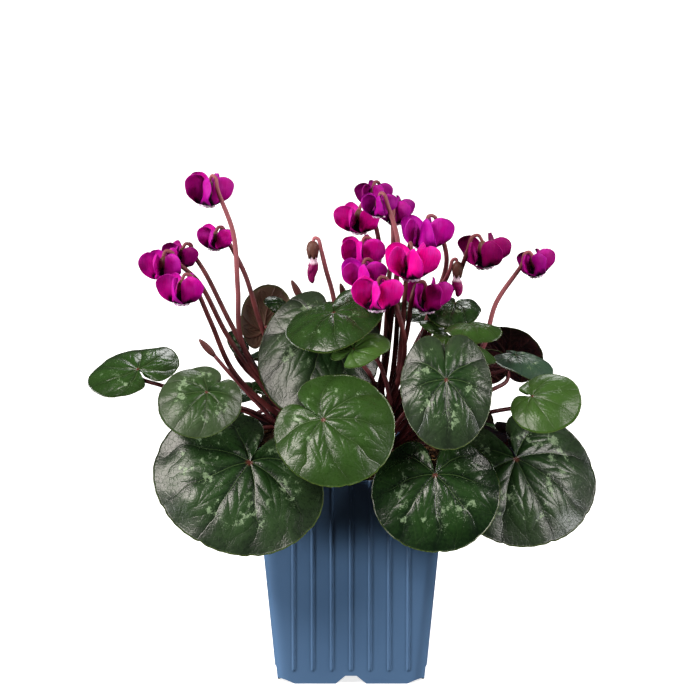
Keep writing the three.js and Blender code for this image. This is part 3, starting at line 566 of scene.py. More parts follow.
# %% Flowers, buds and shoots
# mouth: middle of the flower's mouth; axis: from the mouth to the calyx; side: the compass way to
# the stalk in degrees; open: how far the petals spread; hook: width of the stalk's hook;
# pink: 0 violet to 1 hot pink; dark: how deep the colour is; stem: how pink the stalk is
FLOWERS = [
    dict(mouth=[-67.3, -6, 123.6], axis=[0.1, 0, 1], side=-50, size=1,
         root=[-7, 1], via=[[-29, -14, 23], [-51, -13, 58], [-53, -13, 85], [-55, -12, 111]]),
    dict(mouth=[-64.3, 4, 100], axis=[0.1, 0, 1], side=10, size=0.74,
         root=[-4, 3], via=[[-22, -2, 18], [-42, 0, 63], [-50, 3, 88]]),
    dict(mouth=[-86.8, -15, 90], axis=[-0.1, 0, 1], side=0, size=0.92,
         root=[-8, -3], via=[[-30, -16, 24], [-57, -12, 60], [-71, -12, 87]]),
    dict(mouth=[-78.5, -38, 84], axis=[0, 0, 1], side=0, size=0.95,
         root=[-7, -4], via=[[-30, -20, 22], [-54, -25, 46], [-65, -34, 73]]),
    dict(mouth=[-80, 6, 91], axis=[0.1, 0, 1], side=0, size=0.78,
         root=[-8, 0], via=[[-30, -6, 22], [-54, -2, 60], [-68, 4, 87]]),
    dict(mouth=[10.5, 27.5, 115.5], axis=[0, 0, 1], side=46, size=0.78,
         root=[6, 4], via=[[14, 12, 30], [18, 24, 80], [20, 34, 104]]),
    dict(mouth=[13, -8, 118.6], axis=[0, 0, 1], side=-40, size=0.77, open=1.04,
         root=[6, 0], via=[[14, -2, 30], [20, -10, 80], [22, -15, 107]]),
    dict(mouth=[20.8, 14, 110.2], axis=[0, 0, 1], side=-100, size=0.82,
         root=[8, 2], via=[[18, 2, 30], [22, 0, 80], [20, 5, 100]]),
    dict(mouth=[3.8, 10, 106.8], axis=[0, 0, 1], side=0, size=0.95, open=1.1,
         root=[4, 4], via=[[9, 6, 30], [12, 12, 80], [13.5, 12, 98]]),
    dict(mouth=[5, 4, 92], axis=[0, 0, 1], side=20, size=0.93,
         root=[2, 0], via=[[8, 0, 30], [14, 5, 70], [15, 7, 84]]),
    dict(mouth=[5.5, -18, 86.5], axis=[0, 0, 1], side=30, size=0.93,
         root=[4, -2], via=[[12, -4, 30], [18, -6, 65]]),
    dict(mouth=[12, -38, 81], axis=[0, 0, 1], side=20, size=1.05,
         root=[6, -5], via=[[18, -16, 30], [25, -34, 62]]),
    dict(mouth=[28.2, -26, 93], axis=[0, 0, 1], side=100, size=1.12,
         root=[10, -4], via=[[20, -12, 30], [24, -17, 66], [25.5, -18, 88]]),
    dict(mouth=[35, -1, 101.4], axis=[0, 0, 1], side=30, size=1.08,
         root=[10, -1], via=[[24, 2, 30], [40, 8, 75], [45, 5, 94]]),
    dict(mouth=[62.8, -4, 93.5], axis=[-0.1, 0, 1], side=180, size=1.06, open=1.15,
         root=[14, 0], via=[[28, 2, 40], [45, 7, 74], [51, 0, 89]]),
    dict(mouth=[87, -8, 90], axis=[-0.2, 0, 1], side=182, size=0.82,
         root=[17, -1], via=[[40, -6, 30], [61, -11, 54], [68, -10, 77]]),
    dict(mouth=[35.5, -13, 74.2], axis=[0, 0, 1], side=183, size=0.98,
         root=[9, -3], via=[[18, -9, 30], [26, -12, 62]]),
]
BUDS = [
    dict(top=[-18, -4, 100], axis=[0, 0, 1], length=15, side=0, size=1, hook=0.6,
         root=[0, -2], via=[[-2, 4, 30], [-8, 4, 75], [-12, -2, 92]]),
    dict(top=[50, -6, 91], axis=[0, 0, 1], length=12, side=180, size=0.9, hook=0.6,
         root=[12, -2], via=[[26, 3, 34], [37, 8, 68], [42.5, 3, 81]]),
]
SHOOTS = [
    dict(base=[-23, 6, 74], point=[-28, 6, 84], root=[-2, 0], via=[[-8, 4, 30], [-20, 6, 60]]),
    dict(base=[-2, 8, 72], point=[-5, 8, 82], root=[0, 3], via=[[0, 6, 30], [0, 8, 60]]),
    dict(base=[-64, -20, 54], point=[-71, -21, 62], root=[-7, -1],
         via=[[-30, -14, 16], [-54, -19, 42]]),
]
FLOWER_LOOKS = {
    1: dict(pink=0.3, dark=0.4, stem=0.75), 2: dict(pink=0.45, dark=0.3, stem=0.35),
    3: dict(pink=0.4, dark=0.3, stem=0.1), 4: dict(pink=0.35, dark=0.05, stem=0.1),
    5: dict(pink=0.3, dark=0.6, stem=0.1), 6: dict(pink=0.1, dark=0.6, stem=0.4),
    7: dict(pink=0.05, dark=0.4, stem=0.6), 8: dict(pink=0.1, dark=0.65, stem=0.6),
    9: dict(pink=0.7, dark=0.3, stem=0.6), 10: dict(pink=0.7, dark=0.1, stem=0.8),
    11: dict(pink=0.3, dark=0.0, stem=0.5), 12: dict(pink=0.9, dark=0.0, stem=0.1),
    13: dict(pink=1.0, dark=0.05, stem=0.2), 14: dict(pink=0.2, dark=0.05, stem=0.6),
    15: dict(pink=0.95, dark=0.95, stem=0.1), 16: dict(pink=0.3, dark=0.6, stem=0.8),
    17: dict(pink=0.6, dark=0.4, stem=0.1),
}
print(len(FLOWERS), "flowers,", len(BUDS), "buds and", len(SHOOTS), "young shoots")

# %% What the tables leave out
LEAF_TINTS = ("silver", "bright", "bloom_and_sheen", "blue", "brown")
PLAIN_LEAF = dict(back=0.3, wide=1, sinus=9, arch=2, roll=2, fold=0, lap=0,
                  silver=0.5, bright=0, bloom_and_sheen=0, blue=0, brown=0)
PLAIN_FLOWER = dict(open=1, hook=1)
PLAIN_BUD = dict(stem=1)


def above_rim(point):
    """A place given above the pot's rim."""
    return np.array(point, float) + (0, 0, POT_HEIGHT)


def whole_leaf(number, leaf):
    """A leaf with its number, its looks and its length from the joint to the tip."""
    leaf = {**PLAIN_LEAF, **leaf, **LEAF_LOOKS.get(number, {}), "number": number}
    leaf["length"] = math.dist(leaf["joint"], leaf["tip"])
    leaf["size"] = leaf["length"] / (1 + leaf["back"])
    return leaf


LEAVES = [whole_leaf(n, leaf) for n, leaf in enumerate(LEAVES, start=1)]
FLOWERS = [{**PLAIN_FLOWER, **flower, **FLOWER_LOOKS[n], "number": n}
           for n, flower in enumerate(FLOWERS, start=1)]
BUDS = [{**PLAIN_BUD, **bud, "number": n} for n, bud in enumerate(BUDS, start=1)]
print("largest leaf:", round(max(leaf["length"] for leaf in LEAVES)), "mm from joint to tip")

# %% [markdown]
# ## The pot
# The real pot is moulded from thin polypropylene: four slightly leaning walls with upright ribs,
# and a skirt that is cut up in the middle of each side and at the corners. A box with modifiers
# would lose the ribs' run-out, so the wall is one grid whose columns stand where the ribs need
# them, and the ribs are a small rise of that grid.

# %% Pot outline
NOTCH_TOP, NOTCH_BOTTOM, NOTCH_HEIGHT = 2.6, 7.2, 4
SKIRT_HEIGHT = 6
CORNER_CUT_INNER = 26.5
CORNER_STEPS = 9
QUARTER_TURNS = ((1, 0), (0, 1), (-1, 0), (0, -1))
RIB_FLANK = (-1.15, -1.0, -0.8, -0.55, -0.25, 0.25, 0.55, 0.8, 1.0, 1.15)
RIB_HALF = 1.0
RIB_SLOPE = 0.7
RIB_RUN_OUT = 1.4


def pot_half(z):
    """Half the width between the walls at a height, without the ribs."""
    return POT_FOOT_HALF + (POT_TOP_HALF - RIB_HEIGHT - POT_FOOT_HALF) * z / POT_HEIGHT


def side_columns():
    """Where the grid's columns stand along one side."""
    middles = (np.arange(RIB_COUNT) - (RIB_COUNT - 1) / 2) * RIB_PITCH
    ribs = (middles[:, None] + np.array(RIB_FLANK)).reshape(-1)
    between = middles[:-1] + RIB_PITCH / 2
    notch = [-NOTCH_BOTTOM, -NOTCH_TOP, NOTCH_TOP, NOTCH_BOTTOM]
    return np.unique(np.concatenate([ribs, between, notch]))


def rib_rise(x, z):
    """How far the ribs stand out of the wall."""
    last = (RIB_COUNT - 1) // 2
    middle = np.clip(np.round(x / RIB_PITCH), -last, last) * RIB_PITCH
    flank = smooth((RIB_HALF - abs(x - middle)) / RIB_SLOPE)
    return RIB_HEIGHT * flank * smooth((z - SKIRT_HEIGHT) / RIB_RUN_OUT)


def pot_outline(z, inset, ribs=True):
    """Points once round the pot at one height, as seen from above."""
    half = pot_half(z) - inset
    corner = pot_half(z) - CORNER_RADIUS
    xs = side_columns()
    rise = rib_rise(xs, z) if ribs else 0 * xs
    angles = np.linspace(-math.pi / 2, 0, CORNER_STEPS)
    arc = np.stack([corner + (half - corner) * np.cos(angles),
                    -corner + (half - corner) * np.sin(angles)], axis=1)
    x, y = np.concatenate([np.stack([xs, -half - rise], axis=1), arc]).T
    return np.concatenate([np.stack([x * cos - y * sin, x * sin + y * cos], axis=1)
                           for cos, sin in QUARTER_TURNS])


def at_height(outline, z):
    """The outline's points lifted to a height, or each to its own."""
    return np.column_stack([outline, np.broadcast_to(z, len(outline))])


def skirt_edge(outline):
    """Height of the skirt's lower edge: notches in the sides and slanted corners."""
    x, y = abs(outline[:, 0]), abs(outline[:, 1])
    along = np.minimum(x, y)
    notch = np.clip((NOTCH_BOTTOM - along) / (NOTCH_BOTTOM - NOTCH_TOP), 0, 1)
    cut_from = POT_FOOT_HALF + CORNER_CUT_INNER
    corner = np.clip((x + y - cut_from) / (2 * POT_FOOT_HALF - cut_from), 0, 1)
    return NOTCH_HEIGHT * np.maximum(notch, corner)


def pot_ring(z, inset, ribs=True):
    """One ring of wall points; rings of the skirt follow its lower edge."""
    outline = pot_outline(z, inset, ribs)
    if z >= SKIRT_HEIGHT:
        return at_height(outline, z)
    edge = skirt_edge(pot_outline(0, 0, ribs=False))
    height = edge + z * (SKIRT_HEIGHT - edge) / SKIRT_HEIGHT
    outline *= ((pot_half(height) - inset) / (pot_half(z) - inset))[:, None]
    return at_height(outline, height)


print("columns of one side:", len(side_columns()))

# %% Pot finish
SLATE_BLUE = (0.096, 0.191, 0.353)
PALER_BLUE = (0.115, 0.223, 0.401)
SCUFFED_BLUE = (0.20, 0.29, 0.42)


def plastic_finish():
    """Slate blue moulded plastic: satin, with a faint mould texture and light scuffs."""
    material, tree, shader = finish("slate_blue_plastic", IOR=1.49)
    place = solid_place(tree)
    cloud = grain(tree, place, 0.02, 2)
    scuff = grain(tree, place, 0.0012, 4, 0.7).ramp(0.6, 0.8)
    colour = painted(tree, SLATE_BLUE, (cloud, PALER_BLUE), (scuff * 0.25, SCUFFED_BLUE))
    lead(shader, Base_Color=colour, Roughness=0.4 + scuff * 0.15 + cloud * 0.06,
         Normal=relief(tree, grain(tree, place, 0.0006, 2), 0.02))
    return told(material)


plastic = plastic_finish()

# %% Rings of edges
CIRCLE_STEPS = 28


def circle(x, y, radius, z):
    """Points once round a drain hole or the foot."""
    angle = angles_round(CIRCLE_STEPS)
    return at_height(np.column_stack([x + radius * np.cos(angle), y + radius * np.sin(angle)]), z)


def loop_of(bm, points):
    """A closed ring of edges in a bmesh."""
    verts = [bm.verts.new(p * MM) for p in points]
    edges = [bm.edges.new((a, b)) for a, b in zip(verts, verts[1:] + verts[:1])]
    return verts, edges


def bridge(bm, lower, upper):
    """A band of faces between two rings."""
    count = len(lower)
    for k in range(count):
        after = (k + 1) % count
        bm.faces.new((lower[k], lower[after], upper[after], upper[k]))


print("a circle has", CIRCLE_STEPS, "points")

# %% Pot mesh
# Heights of the outer wall's rings, then height and inset of those over the rim and inside
WALL_LEVELS = (0, 0.4, 1.2, 2.4, 3.6, 5, 5.99, 6.3, 6.7, 7.1, 7.5, 9, 14, 22, 32, 44, 56, 68, 80,
               90, 97, 101.2)
FLOOR_PANEL, FLOOR_UNDER, FLOOR_OVER = 4, 4.05, 5.4
RIM_AND_INSIDE = ((101.7, 0.12), (102, 0.4), (102, 0.8), (101.7, 1.1), (101, POT_WALL),
                  (95, POT_WALL), (FLOOR_OVER, POT_WALL))
RIBBED_INSET = 0.2
HOLE_PLACES = [(x, y) for x in (-20, 20) for y in (-20, 20)]
HOLE_RADIUS = 4
FOOT_RADIUS = 10
FOOT_BEVEL = 0.3
SHARP_ANGLE = math.radians(38)


def wall_loops(bm):
    """The walls as a stack of rings, from the skirt over the rim and down to the floor."""
    stack = [pot_ring(z, 0) for z in WALL_LEVELS]
    stack += [at_height(pot_outline(z, inset, ribs=inset < RIBBED_INSET), z)
              for z, inset in RIM_AND_INSIDE]
    loops = [loop_of(bm, ring) for ring in stack]
    for (lower, _), (upper, _) in zip(loops, loops[1:]):
        bridge(bm, lower, upper)
    return loops


def add_floor(bm, skirt, over_edges):
    """A raised floor with drain holes and a round foot, and the skirt's inner side."""
    panel = pot_outline(FLOOR_PANEL, POT_WALL, ribs=False)
    inner_edge, _ = loop_of(bm, pot_ring(0, POT_WALL, ribs=False))
    under, under_edges = loop_of(bm, at_height(panel, FLOOR_UNDER))
    bridge(bm, inner_edge, skirt)
    bridge(bm, under, inner_edge)
    for x, y in HOLE_PLACES:
        low, low_edges = loop_of(bm, circle(x, y, HOLE_RADIUS, FLOOR_UNDER))
        high, high_edges = loop_of(bm, circle(x, y, HOLE_RADIUS, FLOOR_OVER))
        bridge(bm, high, low)
        under_edges += low_edges
        over_edges += high_edges
    foot_top, foot_edges = loop_of(bm, circle(0, 0, FOOT_RADIUS, FLOOR_UNDER))
    foot_low, _ = loop_of(bm, circle(0, 0, FOOT_RADIUS, FOOT_BEVEL))
    foot_flat, _ = loop_of(bm, circle(0, 0, FOOT_RADIUS - FOOT_BEVEL, 0))
    bridge(bm, foot_low, foot_top)
    bridge(bm, foot_flat, foot_low)
    bm.faces.new(foot_flat[::-1])
    bmesh.ops.triangle_fill(bm, use_beauty=True, edges=under_edges + foot_edges)
    bmesh.ops.triangle_fill(bm, use_beauty=True, edges=over_edges)


def make_pot(material):
    """Walls and floor as one mesh."""
    bm = bmesh.new()
    loops = wall_loops(bm)
    add_floor(bm, loops[0][0], loops[-1][1])
    bmesh.ops.recalc_face_normals(bm, faces=bm.faces)
    mesh = bpy.data.meshes.new("nursery_pot")
    bm.to_mesh(mesh)
    bm.free()
    mesh.materials.append(material)
    mesh.shade_smooth()
    pot = put_in_scene("nursery_pot", mesh)
    mesh.set_sharp_from_angle(angle=SHARP_ANGLE)
    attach(pot, "root")
    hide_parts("pot")
    return pot


pot = make_pot(plastic)
print("pot faces:", len(pot.data.polygons))

# %% [markdown]
# ## The soil
# Peat, coir and bark fill the pot to just under its rim. From a step away the crumbs are what
# makes it soil. A flat sheet with a bump would look like felt, so the surface is a displaced
# grid, and loose crumbs, bark flakes and straw lie on it, each pressed a little into it.

# %% Soil surface
HEAP_CENTRE = (-33, 30)
HEAP_HEIGHT = 13
HEAP_SPREAD = 15
HEAP_MARGIN = 9
CRUMB_HEIGHT = 0.5
# Clods: height, size and seed
CLODS = ((0.7, 2.6, 3), (0.5, 1.2, 4))
CLOD_MARGIN = 2
SOIL_STEPS = 110
SOIL_BOTTOM = 5.7
SOIL_GAP = 0.1
SOIL_CORNER = 0.32
WALL_INSIDE = POT_TOP_HALF - POT_WALL


def soil_height(x, y):
    """The level soil with its crumbs, a heap at the back left, and finer clods."""
    crumbs = np.sin(0.71 * x + 1.3) * np.sin(0.63 * y - 0.4) + 0.6 * np.sin(1.37 * x - 0.9 * y)
    away = np.hypot(x - HEAP_CENTRE[0], y - HEAP_CENTRE[1]) / HEAP_SPREAD
    from_wall = WALL_INSIDE - np.maximum(abs(x), abs(y))
    heap = HEAP_HEIGHT * np.exp(-away * away) * (0.5 + 0.5 * smooth(from_wall / HEAP_MARGIN))
    clods = sum(height * ripple(x, y, size, seed) for height, size, seed in CLODS)
    return SOIL_LEVEL + CRUMB_HEIGHT * crumbs + heap + clods * smooth(from_wall / CLOD_MARGIN)


def make_soil(material):
    """The crumbly top, the flat bottom and the walls between them, as one closed block."""
    n = SOIL_STEPS
    steps = np.linspace(-1, 1, n)
    u, v = np.meshgrid(steps, steps)
    inset = (CORNER_RADIUS - POT_WALL) * SOIL_CORNER * (abs(u) * abs(v)) ** 6
    half = pot_half(SOIL_LEVEL) - POT_WALL - SOIL_GAP
    x, y = u * (half - inset), v * (half - inset)
    shrink = (pot_half(SOIL_BOTTOM) - POT_WALL - SOIL_GAP) / half
    top = np.stack([x, y, soil_height(x, y)], axis=-1)
    bottom = np.stack([x * shrink, y * shrink, 0 * x + SOIL_BOTTOM], axis=-1)
    upper = grid_faces(n, n)
    lower = upper[:, ::-1] + n * n
    rim = [*range(n), *range(2 * n - 1, n * n, n), *range(n * n - 2, n * (n - 1) - 1, -1),
           *range(n * (n - 2), 0, -n)]
    walls = [[b, a, a + n * n, b + n * n] for a, b in zip(rim, rim[1:] + rim[:1])]
    bundle = Bundle()
    bundle.add(np.stack([top, bottom]), [*upper.tolist(), *lower.tolist(), *walls])
    return bundle.make("potting_soil", [material], ["soil"])


print("top of the heap:", round(float(soil_height(*HEAP_CENTRE)), 1), "mm")

# %% Soil finish
BLACK_PEAT = (0.012, 0.007, 0.005)
BROWN_PEAT = (0.052, 0.026, 0.013)
COIR = (0.11, 0.055, 0.024)


def soil_finish():
    """Dark peat with brown coir showing."""
    material, tree, shader = finish("peat_and_coir", Roughness=0.95, Specular_IOR_Level=0.2)
    place = solid_place(tree)
    coarse = grain(tree, place, 0.004, 4, 0.6).ramp(0.4, 0.62)
    fine = grain(tree, place, 0.0011, 3).ramp(0.35, 0.7)
    colour = painted(tree, BLACK_PEAT, (coarse, BROWN_PEAT), (fine * 0.4, COIR))
    lead(shader, Base_Color=colour, Normal=relief(tree, fine + coarse, 0.5))
    return told(material)


peat = soil_finish()
soil = make_soil(peat)
print("soil faces:", len(soil.data.polygons))

# %% Bark and straw finishes
DARK_BARK, ORANGE_BARK, BARK_GRAIN = (0.08, 0.035, 0.014), (0.42, 0.20, 0.07), (0.02, 0.01, 0.006)
OLD_STRAW, PALE_STRAW = (0.55, 0.36, 0.11), (0.75, 0.58, 0.25)


def bark_finish():
    """Orange-brown bark with darker grain."""
    material, tree, shader = finish("bark_crumbs", Roughness=0.85, Specular_IOR_Level=0.25)
    place = solid_place(tree)
    patch = grain(tree, place, 0.0035, 3).ramp(0.4, 0.65)
    fine = grain(tree, place, 0.0007, 3)
    lead(shader, Normal=relief(tree, fine, 0.25),
         Base_Color=painted(tree, DARK_BARK, (patch, ORANGE_BARK), (fine * 0.5, BARK_GRAIN)))
    return told(material)


def straw_finish():
    """Dry yellow straw."""
    material, tree, shader = finish("dry_straw", Roughness=0.6)
    patch = grain(tree, solid_place(tree), 0.002, 3)
    lead(shader, Base_Color=blend_colour(tree, patch, OLD_STRAW, PALE_STRAW))
    return told(material)


crumb_finishes = [peat, bark_finish(), straw_finish()]

# %% Loose crumbs, bark and straw
PEAT, BARK, STRAW = 0, 1, 2
CRUMB_COUNT = 620
FLAKE_COUNT = 90
STRAW_COUNT = 46
CRUMB_SIZES, FLAKE_SIZES = (0.35, 1.35), (1.2, 2.6)
FLAKE_SHAPE = (1, 0.6, 0.22)
BARK_SHARE = 0.3
KNOB_HEIGHT = 0.22
CRUMB_LIFT = 0.25
STRAW_LENGTHS, STRAW_RADII = (3, 9), (0.16, 0.34)
STRAW_STEPS = 6
STRAW_LIFT = 0.55
CRUMB_MARGIN, STRAW_MARGIN = 3.2, 2


def lump_shape():
    """A small icosphere's points and faces, to be squeezed into crumbs."""
    bm = bmesh.new()
    bmesh.ops.create_icosphere(bm, subdivisions=2, radius=1)
    points = np.array([v.co[:] for v in bm.verts])
    faces = [[v.index for v in f.verts] for f in bm.faces]
    bm.free()
    return points, faces


def soil_spot(draw):
    """A random place on the soil."""
    reach = WALL_INSIDE - CRUMB_MARGIN
    return draw.uniform(-reach, reach, 2)


def tumble(draw):
    """A random turn about the upright, after a small tip."""
    angle, tip = draw.uniform(0, 2 * math.pi), draw.uniform(-0.4, 0.4)
    cos, sin = math.cos(angle), math.sin(angle)
    turn = np.array([[cos, sin, 0], [-sin, cos, 0], [0, 0, 1]])
    return turn @ np.array([[1, 0, 0], [0, math.cos(tip), math.sin(tip)],
                            [0, -math.sin(tip), math.cos(tip)]])


def add_lump(bundle, draw, shape, faces, flake):
    """One crumb of peat or bark, or a flat flake of bark."""
    x, y = soil_spot(draw)
    size = draw.uniform(*(FLAKE_SIZES if flake else CRUMB_SIZES))
    stretch = FLAKE_SHAPE if flake else draw.uniform(0.6, 1.2, 3)
    knobs = 1 + KNOB_HEIGHT * np.sin(shape @ draw.uniform(1, 4, 3) + draw.uniform(0, 6))
    lump = shape * knobs[:, None] * stretch * size
    place = (x, y, float(soil_height(x, y)) + CRUMB_LIFT * size)
    points = lump @ tumble(draw) + place
    bundle.add(points, faces, BARK if flake or draw.random() < BARK_SHARE else PEAT)


def add_straw(bundle, draw):
    """A bent piece of straw that lies over the crumbs."""
    x, y = soil_spot(draw)
    angle, length = draw.uniform(0, 2 * math.pi), draw.uniform(*STRAW_LENGTHS)
    share = np.linspace(-0.5, 0.5, STRAW_STEPS)
    bend = draw.uniform(-0.25, 0.25) * (share ** 2 - 0.25) * length
    px = x + length * share * math.cos(angle) - bend * math.sin(angle)
    py = y + length * share * math.sin(angle) + bend * math.cos(angle)
    inside = WALL_INSIDE - STRAW_MARGIN
    px, py = np.clip(px, -inside, inside), np.clip(py, -inside, inside)
    ground = soil_height(px, py)
    lift = STRAW_LIFT + draw.uniform(0, 0.5)
    pz = np.interp(share, (-0.5, 0.5), (ground[0], ground[-1])) + lift
    path = np.column_stack([px, py, np.maximum(pz, ground + 0.2)])
    add_tube(bundle, path, np.full(STRAW_STEPS, draw.uniform(*STRAW_RADII)), 6, STRAW)


def make_crumbs(materials):
    """Lumps of peat and bark, flakes lying flat, and bent pieces of straw."""
    draw = np.random.default_rng(21)
    shape, faces = lump_shape()
    bundle = Bundle()
    for n in range(CRUMB_COUNT + FLAKE_COUNT):
        add_lump(bundle, draw, shape, faces, flake=n >= CRUMB_COUNT)
    for _ in range(STRAW_COUNT):
        add_straw(bundle, draw)
    return bundle.make("soil_crumbs", materials, ["soil"])


crumbs = make_crumbs(crumb_finishes)
print("crumb faces:", len(crumbs.data.polygons))

# %% [markdown]
# ## The stalks
# Leaf and flower stalks rise from the corm and lean on each other. They are fleshy, dark
# red-brown, thicker below and paler and pinker near the flowers. A swept tube with a slightly
# angular section and a radius that eases off is closer to them than a curve with a round bevel.

# %% Stalk finish
DARK_STALK, RED_STALK, PINK_STALK = (0.040, 0.007, 0.009), (0.120, 0.026, 0.026), (0.42, 0.13, 0.15)
STALK_STREAK, GREENISH_STALK = (0.24, 0.08, 0.07), (0.110, 0.062, 0.036)


def stalk_finish():
    """Fleshy skin: dark red-brown below, dusty pink above, with fine lengthwise streaks."""
    material, tree, shader = finish("stalk_skin", IOR=1.3, Subsurface_Weight=0.08,
                                    Subsurface_Radius=(0.002, 0.0008, 0.0005))
    place = solid_place(tree)
    streak = grain(tree, stretched(tree, place, (1, 1, 0.18)), 0.0012, 4)
    cloud = grain(tree, place, 0.012, 2)
    colour = painted(tree, DARK_STALK,
                     (cloud.ramp(0.3, 0.7), RED_STALK),
                     (value_of(tree, "pink"), PINK_STALK),
                     (streak.ramp(0.55, 0.8) * 0.2, STALK_STREAK),
                     (value_of(tree, "green"), GREENISH_STALK))
    lead(shader, Base_Color=colour, Roughness=0.36 + 0.16 * streak,
         Normal=relief(tree, streak, 0.1))
    return told(material)


stalk_skin = stalk_finish()

# %% Stalk routes
CORM_CENTRE = (5, 0)
ROOT_DEPTH = POT_HEIGHT - 6
ROOT_GATHER = 0.7
PETIOLE_BEND, PETIOLE_END = 4.5, 0.45
TUBE_TOP = 7.2
CALYX_TOP = 10.4
# A hook's places: how far out to the side, and how high over the calyx
HOOK = ((6.6, -2), (4.4, 3), (1.6, 3.6), (0, 0.6))


def rise_of(item):
    """The foot of a stalk: in the corm, at its crown, then through its given points."""
    x = CORM_CENTRE[0] + (item["root"][0] - CORM_CENTRE[0]) * ROOT_GATHER
    y = item["root"][1] * ROOT_GATHER
    return [(x, y, ROOT_DEPTH), (*item["root"], CORM_TOP + 1), *map(above_rim, item["via"])]


def leaf_axes(leaf):
    """The joint, and the leaf's axes: along, across and out."""
    joint = above_rim(leaf["joint"])
    along = unit(above_rim(leaf["tip"]) - joint)
    out = np.array(leaf["face"], float)
    out = unit(out - along * out.dot(along))
    return joint, along, np.cross(out, along), out


def petiole_path(leaf):
    """A leaf's stalk, which meets the arched blade squarely."""
    joint, along, _, out = leaf_axes(leaf)
    lean = unit(out - along * (4 * leaf["arch"] / leaf["length"]))
    return smooth_curve([*rise_of(leaf), joint - lean * PETIOLE_BEND, joint - lean * PETIOLE_END])


def head_axes(item):
    """Up from the mouth to the calyx, out to the stalk's side, and across both."""
    up = unit(item["axis"])
    angle = math.radians(item["side"])
    side = np.array((math.cos(angle), math.sin(angle), 0))
    side = unit(side - up * side.dot(up))
    return up, side, np.cross(up, side)


def ring_round(item, count):
    """Directions once round a head's axis."""
    _, side, cross = head_axes(item)
    angle = angles_round(count)[:, None]
    return side * np.cos(angle) + cross * np.sin(angle)


def mouth_place(item):
    """The middle of a flower's mouth, or of the mouth that a bud will have."""
    if "mouth" in item:
        return above_rim(item["mouth"])
    return above_rim(item["top"]) - unit(item["axis"]) * TUBE_TOP * item["size"]


def hook_path(item):
    """The stalk with the hook that brings it down into the calyx."""
    up, side, _ = head_axes(item)
    ends = [side * out * item["hook"] + up * (CALYX_TOP + high) for out, high in HOOK]
    return smooth_curve([*rise_of(item), *[mouth_place(item) + p * item["size"] for p in ends]])


print("longest petiole curve:", max(len(petiole_path(leaf)) for leaf in LEAVES), "points")

# %% Calyces
# Rows of a calyx: radius, height over the mouth, and how much the row follows the sepals' points
FLOWER_CALYX = [
    (0.8, 11.3, 0), (1.5, 10.5, 0), (2.15, 9.2, 0), (2.45, 7.8, 0), (2.62, 6.8, 0.3),
    (2.85, 6.3, 1), (2.6, 6.3, 1), (2.3, 6.9, 0.3), (1.6, 7.7, 0), (0.4, 8, 0),
]
BUD_CALYX = [
    (1.0, 12.6, 0), (2.1, 11.8, 0), (2.8, 10.2, 0), (3.0, 8.4, 0), (2.75, 6.8, 0.3),
    (2.3, 5.2, 0.8), (2.0, 5.3, 0.8), (2.2, 6.9, 0.3), (1.6, 8.2, 0), (0.4, 8.4, 0),
]
CALYX_STEPS = 40
SEPALS = 5
SEPAL_TUCK = 0.35
SEPAL_LENGTH = 2.3


def add_calyx(bundle, item):
    """A cup with five pointed sepals that hug the flower's tube."""
    up, _, _ = head_axes(item)
    ring = ring_round(item, CALYX_STEPS)
    lobe = abs(np.cos(SEPALS / 2 * angles_round(CALYX_STEPS)))[:, None] ** 0.8
    profile = BUD_CALYX if "length" in item else FLOWER_CALYX
    rows = [ring * (radius - SEPAL_TUCK * fall * (1 - lobe))
            + up * (high - fall * (SEPAL_LENGTH * lobe - 1)) for radius, high, fall in profile]
    bundle.add(mouth_place(item) + item["size"] * np.concatenate(rows),
               closed_rings(len(rows), CALYX_STEPS, flip=True), pink=0.25, green=0.6)


print("a calyx has", len(FLOWER_CALYX), "rings of", CALYX_STEPS, "points")

# %% Stalk meshes
# Radius at the foot, and what it loses on the way up
PETIOLE, FLOWER_STALK, YOUNG_STALK = (1.3, 0.35), (1.42, 0.36), (1.15, 0.25)
NECK_START, NECK_LOSS = 0.86, 0.25
STALK_RIDGE, ROLL_RIDGE = 0.03, 0.12
ROLL_STEPS = 9


def tapered(stalk, t):
    """Radii of a stalk along its way."""
    foot, loss = stalk
    return foot - loss * t


def add_head_stalk(bundle, item):
    """A flower's or bud's stalk with its calyx."""
    stem = item["stem"]
    path = hook_path(item)
    t = share_along(path)
    neck = 1 - NECK_LOSS * smooth((t - NECK_START) / (1 - NECK_START))
    pink = np.maximum(stem * smooth((t - 0.75 + 0.4 * stem) * 3), 0.4 * smooth((t - 0.8) * 6))
    add_tube(bundle, path, tapered(FLOWER_STALK, t) * neck, 12, ridge=STALK_RIDGE, pink=pink)
    add_calyx(bundle, item)


def add_shoot(bundle, shoot):
    """A young leaf, still rolled up at the end of its stalk."""
    base, point = above_rim(shoot["base"]), above_rim(shoot["point"])
    path = smooth_curve([*rise_of(shoot), base])
    t = share_along(path)
    add_tube(bundle, path, tapered(YOUNG_STALK, t), 10, pink=0.2 * t)
    share = np.linspace(0, 1, ROLL_STEPS)
    roll = base + (point - base) * share[:, None]
    radii = 0.35 + 1.35 * np.sin(math.pi * np.clip(share * 0.86 + 0.12, 0, 1)) ** 0.8
    add_tube(bundle, roll, radii, 12, ridge=ROLL_RIDGE, pink=0.15, green=0.25)


def make_stalks(skin):
    """All petioles, flower stalks, calyces and young rolled leaves as one grown piece."""
    bundle = Bundle("pink", "green")
    for leaf in LEAVES:
        path = petiole_path(leaf)
        t = share_along(path)
        pink = 0.25 * smooth((t - 0.6) * 2.5)
        add_tube(bundle, path, tapered(PETIOLE, t), 10, ridge=STALK_RIDGE, pink=pink)
    for item in (*FLOWERS, *BUDS):
        add_head_stalk(bundle, item)
    for shoot in SHOOTS:
        add_shoot(bundle, shoot)
    return bundle.make("cyclamen_stalks", [skin], ["stalks"])


stalks = make_stalks(stalk_skin)
print("stalk faces:", len(stalks.data.polygons))

